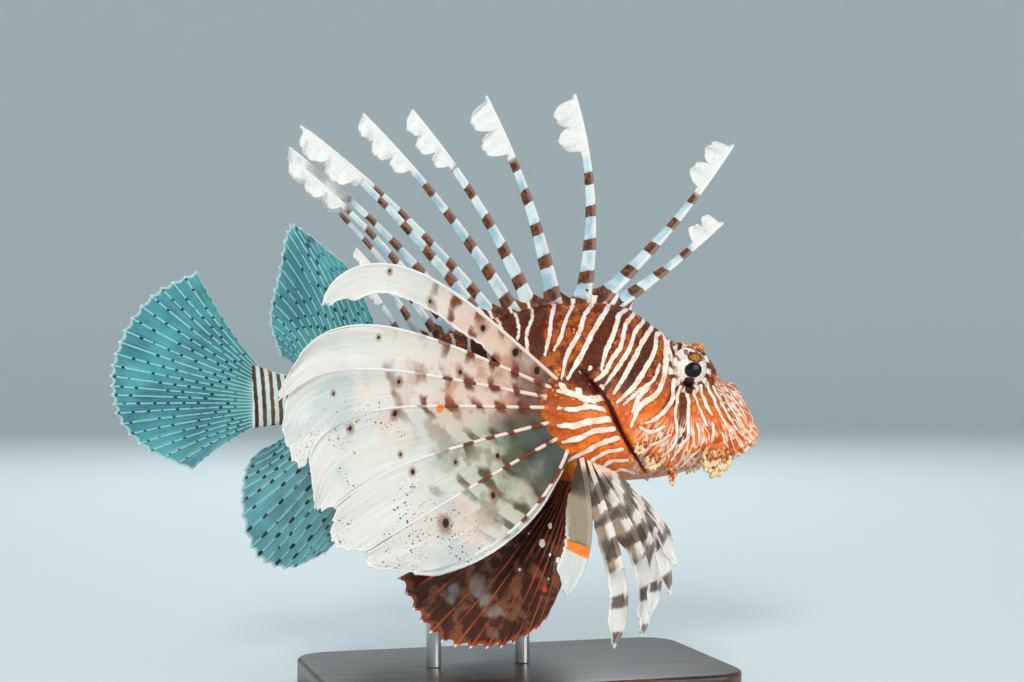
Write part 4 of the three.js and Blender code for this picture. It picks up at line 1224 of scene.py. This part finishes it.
# Dark ringed spots: ray, share of the way across its vane, share of its length, radius in mm.
OCELLI = [
    (3, 0.11, 0.6, 1.2), (3, 0.16, 0.77, 1.0), (4, 0.2, 0.65, 1.2), (5, 0.31, 0.67, 1.8),
    (4, 0.35, 0.475, 0.9),
    (5, 0.35, 0.425, 1.3), (0, 0.7, 0.545, 0.9), (0, 0.4, 0.33, 1.6), (0, 0.3, 0.2, 1.9),
    (0, 0.4, 0.1, 1.8),
    (2, 0.43, 0.8, 0.7), (1, 0.73, 0.37, 1.1), (2, 0.3, 0.575, 0.9), (1, 0.26, 0.68, 0.8),
    (3, 0.83, 0.66, 0.7),
    (4, 0.6, 0.3, 1.2), (0, 0.2, 0.72, 0.6),
]
# Orange patches, in the same way.
EMBERS = [(3, 0.05, 0.43, 1.9)]
# How deep the fan's margin is cut in at a ray, as a share of its length.
NOTCHES = {2: 0.035, 3: 0.055, 4: 0.02, 5: 0.02}
# How much further the left fin hangs and stands out than the right one, in degrees.
HOLD = {"droop": -15, "splay": 30, "lowerDroop": 18, "lowerSplay": 8}
root_x = through([(0, 14), (3, 10.5), (6, 17), (7, 23.5), (13, 37)])
root_z = through([(0, -17.5), (3, -28), (6, -46), (7, -49.5), (13, -55.5)])


def pectoral_ray(i, side):
    """Ray i as a curve of t, drawn on straight past its end."""
    heading, bend, power, length, splay = PECTORAL[i][:5]
    upper = i < UPPER
    droop = (HOLD["droop"] if upper else HOLD["lowerDroop"]) if side > 0 else 0
    wide = splay + ((HOLD["splay"] if upper else HOLD["lowerSplay"]) if side > 0 else 0)
    steps = 30
    step = length / math.cos(math.radians(splay)) / steps
    t = (np.arange(steps) + 0.5) / steps
    a = np.radians(heading + droop + bend * t ** power)
    aside = np.radians(wide * (1.1 - 0.35 * t))
    back = np.cos(aside) * step
    moves = np.stack([-np.cos(a) * back, side * np.sin(aside) * step, np.sin(a) * back], -1)
    x = float(root_x(i))
    start = np.array([x, side * (float(half_width(x)) - 1.5), float(root_z(i))])
    places = start + np.concatenate([[0 * start], np.cumsum(moves, axis=0)])
    places = np.concatenate([places, [places[-1] + 3 * moves[-1]]])
    stops = np.append(np.linspace(0, 1, steps + 1), 1 + 3 / steps)
    return lambda s: np.stack([np.interp(s, stops, places[:, k]) for k in range(3)], -1)


def pectoral_strip(i, side, towards, has_next, seed):
    """One ray and its vane, which reaches to ray i + towards for as long as they join."""
    rows = 120 if i < UPPER else 110
    vane, length = PECTORAL[i][5], PECTORAL[i][3]
    joined = PECTORAL[i if towards > 0 else i + towards][6] if has_next else 0
    whole = joined > 0.9
    t = np.linspace(0, 1.08, 109)
    ray = pectoral_ray(i, side)
    p = ray(t)
    along = unit(ray(t + 0.02) - ray(t - 0.03))
    square = unit(-np.cross(np.array([0, towards, 0.0]), along))
    full = vane * np.sin(math.pi * np.minimum(0.5, 0.04 + t)) * (1 - ease(t, 0.88, 1) * 0.7)
    reach = square * full[:, None]
    if has_next:
        link = pectoral_ray(i + towards, side)(t) - p
        held = 1 - ease(t, joined, joined + 0.12) * (not whole)
        short = np.linalg.norm(link, axis=1) * 0.86 < full
        reach = mix(np.where(short[:, None], link * 0.86, reach), link, held[:, None])
    width = np.linalg.norm(reach, axis=1)
    aim = reach / np.maximum(width, 1e-6)[:, None]

    # the grid of the strip: seven columns over the round ray, then the vane
    steps = np.linspace(0, 1, rows + 1)
    beside = np.array([-0.5, -0.4, -0.22, 0, 0.22, 0.4, 0.5])
    beyond = np.linspace(0.03, 1, 34 if i < UPPER else 24)
    share = np.concatenate([0 * beside, beyond])
    ragged = np.array([
        0.5 * abs(ripple(seed + i, f * 6)) + 0.5 * abs(ripple(seed + i, f * 19, 3)) for f in share
    ])
    teeth = np.abs(np.sin(share * 19 + i)) * 0.4 + ragged
    notch = [NOTCHES.get(i, 0.0), NOTCHES.get(i + towards, 0.0)]
    lobed = (0.07 - 0.066 * (side > 0)) * 4 * share * (1 - share) - 0.036 * teeth
    lobed -= notch[0] * np.exp(-share / 0.13) + notch[1] * np.exp((share - 1) / 0.13)
    margin = lobed if whole else -0.02 * teeth
    margin = np.where(share > 0, margin, -notch[0] * whole)
    at = steps[None, :] + margin[:, None] * ease(steps, 0.72, 1)[None, :]
    rod = mix(1.7, 0.6, np.clip(at, 0, 1))
    here = lambda values: np.interp(at, t, values)
    across = np.maximum(here(width), rod * 1.2)
    torn = np.array([
        ripple(seed + i, k * 0.16) + 0.7 * ripple(seed + i, k * 0.5, 7) for k in range(rows + 1)
    ])
    loose = ease(steps, joined + 0.02, joined + 0.1) * (0 if whole else 1)
    across = across - (loose * np.abs(torn) * 0.09 * vane)[None, :]
    d = np.concatenate([
        beside[:, None] * rod[: len(beside)],
        0.5 * rod[len(beside):] + (across[len(beside):] - 0.5 * rod[len(beside):]) * beyond[:, None],
    ])
    out = np.clip(d / across, 0, 1)
    places = np.stack([here(p[:, k]) + here(aim[:, k]) * d for k in range(3)], -1)
    belly = np.sin(out * math.pi) if has_next and joined > 0 else out
    wave = 0.45 * np.sin(at * length / 5.5 + i * 1.3 + out * 2)
    wave = wave * out * (1 - out * (joined > 0)) * (0.3 + 0.7 * at)
    crumple = 0.12 * ease(steps, 0.8, 1)[None, :] * np.sin(share * 47 + i)[:, None]
    folds = ease(steps, 0.5, 1)[None, :] * np.sin(share[:, None] * 6.3 + at * 7 + i * 1.7)
    crumple = crumple + (1.1 if whole else 0.4) * folds * (share > 0)[:, None]
    places[..., 1] += -side * np.minimum(across * 0.12, 2) * belly + side * (wave + crumple)
    thick = np.maximum(rod * np.sqrt(np.clip(1 - (2 * d / rod) ** 2, 0, 1)), 0.42)
    spot, ember = (
        dots_near(places, out, at, [m[1:] for m in marks if m[0] == i]) for marks in (OCELLI, EMBERS)
    )
    uv = spread(i + out * towards, at * length / 10)
    paint = {"ray": np.abs(d), "out": out, "t": at, "spot": spot, "ember": ember,
             "free": np.minimum(across - d + 30 * (1 - loose)[None, :], (1 - steps)[None, :] * length)}
    return sheet(f"strip_{i}", places, uv, paint, thick)


def pectoral_group(name, side, first, last, towards, seed):
    end = last if towards > 0 else first
    strips = [pectoral_strip(i, side, towards, i != end, seed) for i in range(first, last + 1)]
    return thicken(fuse(name, strips))


def pectoral_paint(name, lower):
    box = PaintBox(name)
    n, s, _ = box.split(box.uv)
    ray, t, out = box.paint("ray"), box.paint("t"), box.paint("out")
    cloud = box.cloud(70, 3)
    drift = cloud - 0.5
    far = (t + drift * 0.35).soft(0.2, 0.75)
    low = (n + drift * 1.5).soft(2.9, 3.9)
    inner = blend(low, "d9bfae", "b0b09a")
    film = blend(far, inner, "d6d5d0")
    rose = box.cloud(48, 2).soft(0.45, 0.62) * t.soft(0.95, 0.5)
    film = blend(rose * 0.5, film, "d8ae9a")
    # painted shade: soft grey blue patches out on the fan stand in for the shadow along its folds
    painted_fold_shade = box.cloud(34, 2).soft(0.5, 0.66) * t.soft(0.4, 0.7)
    film = blend(painted_fold_shade * 0.6, film, "a9bcc0")
    # painted highlight and painted shade: fine streaks out along the fan are whitened and darkened as
    # light falls on its ribbing; the relief uses the same streaks
    streaks = box.cloud(2.0, 3, box.join(n * 9, s * 0.25))
    painted_streak_highlight = streaks.soft(0.5, 0.72) * t.soft(0.35, 0.7)
    film = blend(painted_streak_highlight * 0.3, film, "f2f1f0")
    film = blend(streaks.soft(0.44, 0.3) * 0.16, film, "a58d84")
    # brown bars cross each ray and run out into the membrane, strongest near the root
    beat = s * 5.6 + n * 2.1
    beat = sine(beat + drift * 7)
    beside = least(out, 1 - out)
    beside = (beside + drift * 1.5).soft(0.5, 0.1)
    bars = (beat + drift).soft(0.1, 0.85) * beside
    bars = bars * (t + drift * 0.6).soft(0.64, 0.42)
    bar_colour = blend(low, "6b2e16", "4e4428")
    film = blend(bars * 0.95, film, bar_colour)
    smoke = box.cloud(95, 3).soft(0.52, 0.64) * t.soft(0.64, 0.45)
    film = blend(smoke * 0.5, film, blend(low, "a9653f", "5f583a"))
    reached = t - low * 0.13
    root = (reached + drift * 0.45).soft(0.26, 0.06)
    slate = blend(cloud.soft(0.4, 0.6), "4a4a34", "323f40")
    film = blend(root * 0.92, film, blend(low, "5e2c1c", slate))
    # ringed spots and a dust of black specks towards the margin
    spot = box.paint("spot") + drift
    halo = (spot + drift * 5).soft(3.2, 1.0)
    film = blend(halo * 0.75, film, "8d5f3c")
    film = blend(spot.soft(1.2, 0.85), film, "24140e")
    glow = (box.paint("ember") + drift * 2).soft(1.2, 0.7)
    coarse = box.spots(420).soft(0.22, 0.15)
    dust = most(coarse, box.spots(760).soft(0.22, 0.15))
    dust = dust * t.soft(0.5, 0.66)
    dust = dust * box.cloud(46, 2).soft(0.49, 0.54)
    dust = dust * n.soft(2.2, 3.4)
    film = blend(dust * 0.9, film, "20140f")
    # the rays: pale, with uneven red brown dashes that fade towards the tip
    uneven = (box.cloud(150, 1) - 0.5) * 3.5
    dash = (beat + uneven).soft(-0.1, 0.45) * n.soft(0.4, 0.6)
    dash = dash * t.soft(0.62, 0.4)
    shaft = blend(t.soft(0.1, 0.5), "efd3c4", "e6e2e0")
    shaft = blend(dash, shaft, "7d3a24")
    shaft = blend(t.soft(0.07, 0.03), shaft, "fbe0c8")
    wide = 0.85 - t * 0.35
    if lower:
        # taupe with pale bars along each ray, a dark root, and a white end with a dark bar
        wide = 1.3
        seventh = n.soft(7.02, 6.99)
        grain = box.cloud(2.0, 3, box.join(n * 12, s * 0.5))
        patchy = box.cloud(150, 3).soft(0.4, 0.62)
        film = blend(patchy, blend(grain, "453730", "6f5d4f"), "998672")
        bar = beat + (grain - 0.5) * 1.6
        film = blend(bar.soft(-0.2, -0.8) * 0.75, film, "40302a")
        beads = bar.soft(0.0, 0.5) * (ray + drift).soft(3.8, 2.0)
        beads = beads * seventh.soft(0.6, 0.4)
        film = blend(beads * 0.9, film, "e4dad2")
        end = t + drift * 0.3
        belt = s * 4.2 + n * 1.3
        belt = sine(belt) + (grain - 0.5) * 1.2
        outer = blend(belt.soft(0.2, 0.7) * 0.9, "d6d6d4", "4f3832")
        film = blend(end.soft(0.52, 0.66), film, outer)
        film = blend(end.soft(0.24, 0.08), film, "3a2d25")
        tip = blend(grain, "adb8b3", "e3e7e5")
        mid = blend(grain, "7d705c", "ab9d86")
        seven = blend(end.soft(0.2, 0.3), "3f362e", mid)
        seven = blend(end.soft(0.54, 0.59) * 0.7, seven, "5a4034")
        film = blend(seventh, film, blend(t.soft(0.68, 0.7), seven, tip))
        wavy = t + drift * 0.1
        band = wavy.soft(0.6, 0.615) * wavy.soft(0.69, 0.675)
        glow = band * seventh
        shaft = blend(0.15 + beads * 0.6, film, "efe6de")
        shaft = blend(t.soft(0.12, 0.04), shaft, "eed3bd")
    on_ray = (ray / wide).soft(1.1, 0.85)
    colour = blend(on_ray, film, shaft)
    colour = blend(glow, colour, "f08030")
    edge = (box.paint("free") + cloud * 1.5).soft(2.2, 1.0)
    edge = edge * (t.soft(0.3, 0.7) if lower else 1.0)
    colour = blend(edge * 0.7, colour, "f0eeec")
    box.relief(streaks * 0.5 + box.cloud(800, 3), 0.0004, 0.35)
    return box.finish(colour, 0.45, Specular_IOR_Level=0.25)


fan_paint = pectoral_paint("pectoral_fan_paint", False)
ray_paint = pectoral_paint("pectoral_ray_paint", True)
for side, word in ((-1, "right"), (1, "left")):
    for part, group, paint in (("fan", (0, 6, 1, 51), fan_paint), ("rays", (7, 13, -1, 71), ray_paint)):
        piece = pectoral_group(f"{part}_{word}", side, *group)
        dress(piece, paint, "pectoral_fin", f"pectoral_{part}_{word}")
print("pectoral rays", len(PECTORAL) * 2)

# %% [markdown]
# ## The stand
#
# The base is a stained hardwood block with a softened edge, and the rods are brushed steel.
# The solids already have the right shape, so only the base is made again, to give its
# corners a bevel that catches the light.

# %% The stand
BASE = {"length": 176, "width": 104, "height": 10, "corner": 16, "edge": 1.6}
bm = bmesh.new()
bmesh.ops.create_cube(bm, size=1)
size = Vector((BASE["length"], BASE["width"], BASE["height"])) / 1000
bmesh.ops.scale(bm, vec=size, verts=bm.verts)
bmesh.ops.translate(bm, vec=(0, 0, size.z / 2), verts=bm.verts)
upright = [e for e in bm.edges if abs(e.verts[0].co.z - e.verts[1].co.z) > 0.001]
bmesh.ops.bevel(bm, geom=upright, offset=BASE["corner"] / 1000, offset_type="OFFSET", segments=16,
                profile=0.5, affect="EDGES", material=-1)
top = [e for e in bm.edges if min(v.co.z for v in e.verts) > size.z - 1e-5]
rim = [e for e in top if len(e.link_faces) == 2 and any(abs(f.normal.z) < 0.5 for f in e.link_faces)]
bmesh.ops.bevel(bm, geom=rim, offset=BASE["edge"] / 1000, offset_type="OFFSET", segments=4, profile=0.5,
                affect="EDGES", material=-1)
base = settle(bm, "wooden_base")
box = PaintBox("stained_wood")
x, y, z = box.split(box.place)
grain_place = box.join(x * 0.12, y, z)
grain = box.cloud(260, 4, grain_place)
pores = box.cloud(1500, 2, grain_place)
wood = blend(grain.soft(0.35, 0.68), "2c1b12", "5a3a26")
wood = blend(pores.soft(0.6, 0.7) * 0.5, wood, "1a0f0a")
box.relief(pores, 0.0001, 0.3)
dress(base, box.finish(wood, 0.34, Coat_Weight=0.3, Coat_Roughness=0.2), "wood", "stand_base")
box = PaintBox("brushed_steel")
x, y, z = box.split(box.place)
brushed = box.cloud(900, 3, box.join(x, y, z * 12))
steel = blend(brushed, "a9acb0", "cfd1d4")
box.relief(brushed, 0.00005, 0.3)
steel_paint = box.finish(steel, 0.32, Metallic=1.0)
for name in ("stand_rod_front", "stand_rod_rear"):
    rod = bpy.data.objects[name]
    rod.data.materials.clear()
    rod.data.materials.append(steel_paint)
print("stand", [round(c, 3) for c in size])
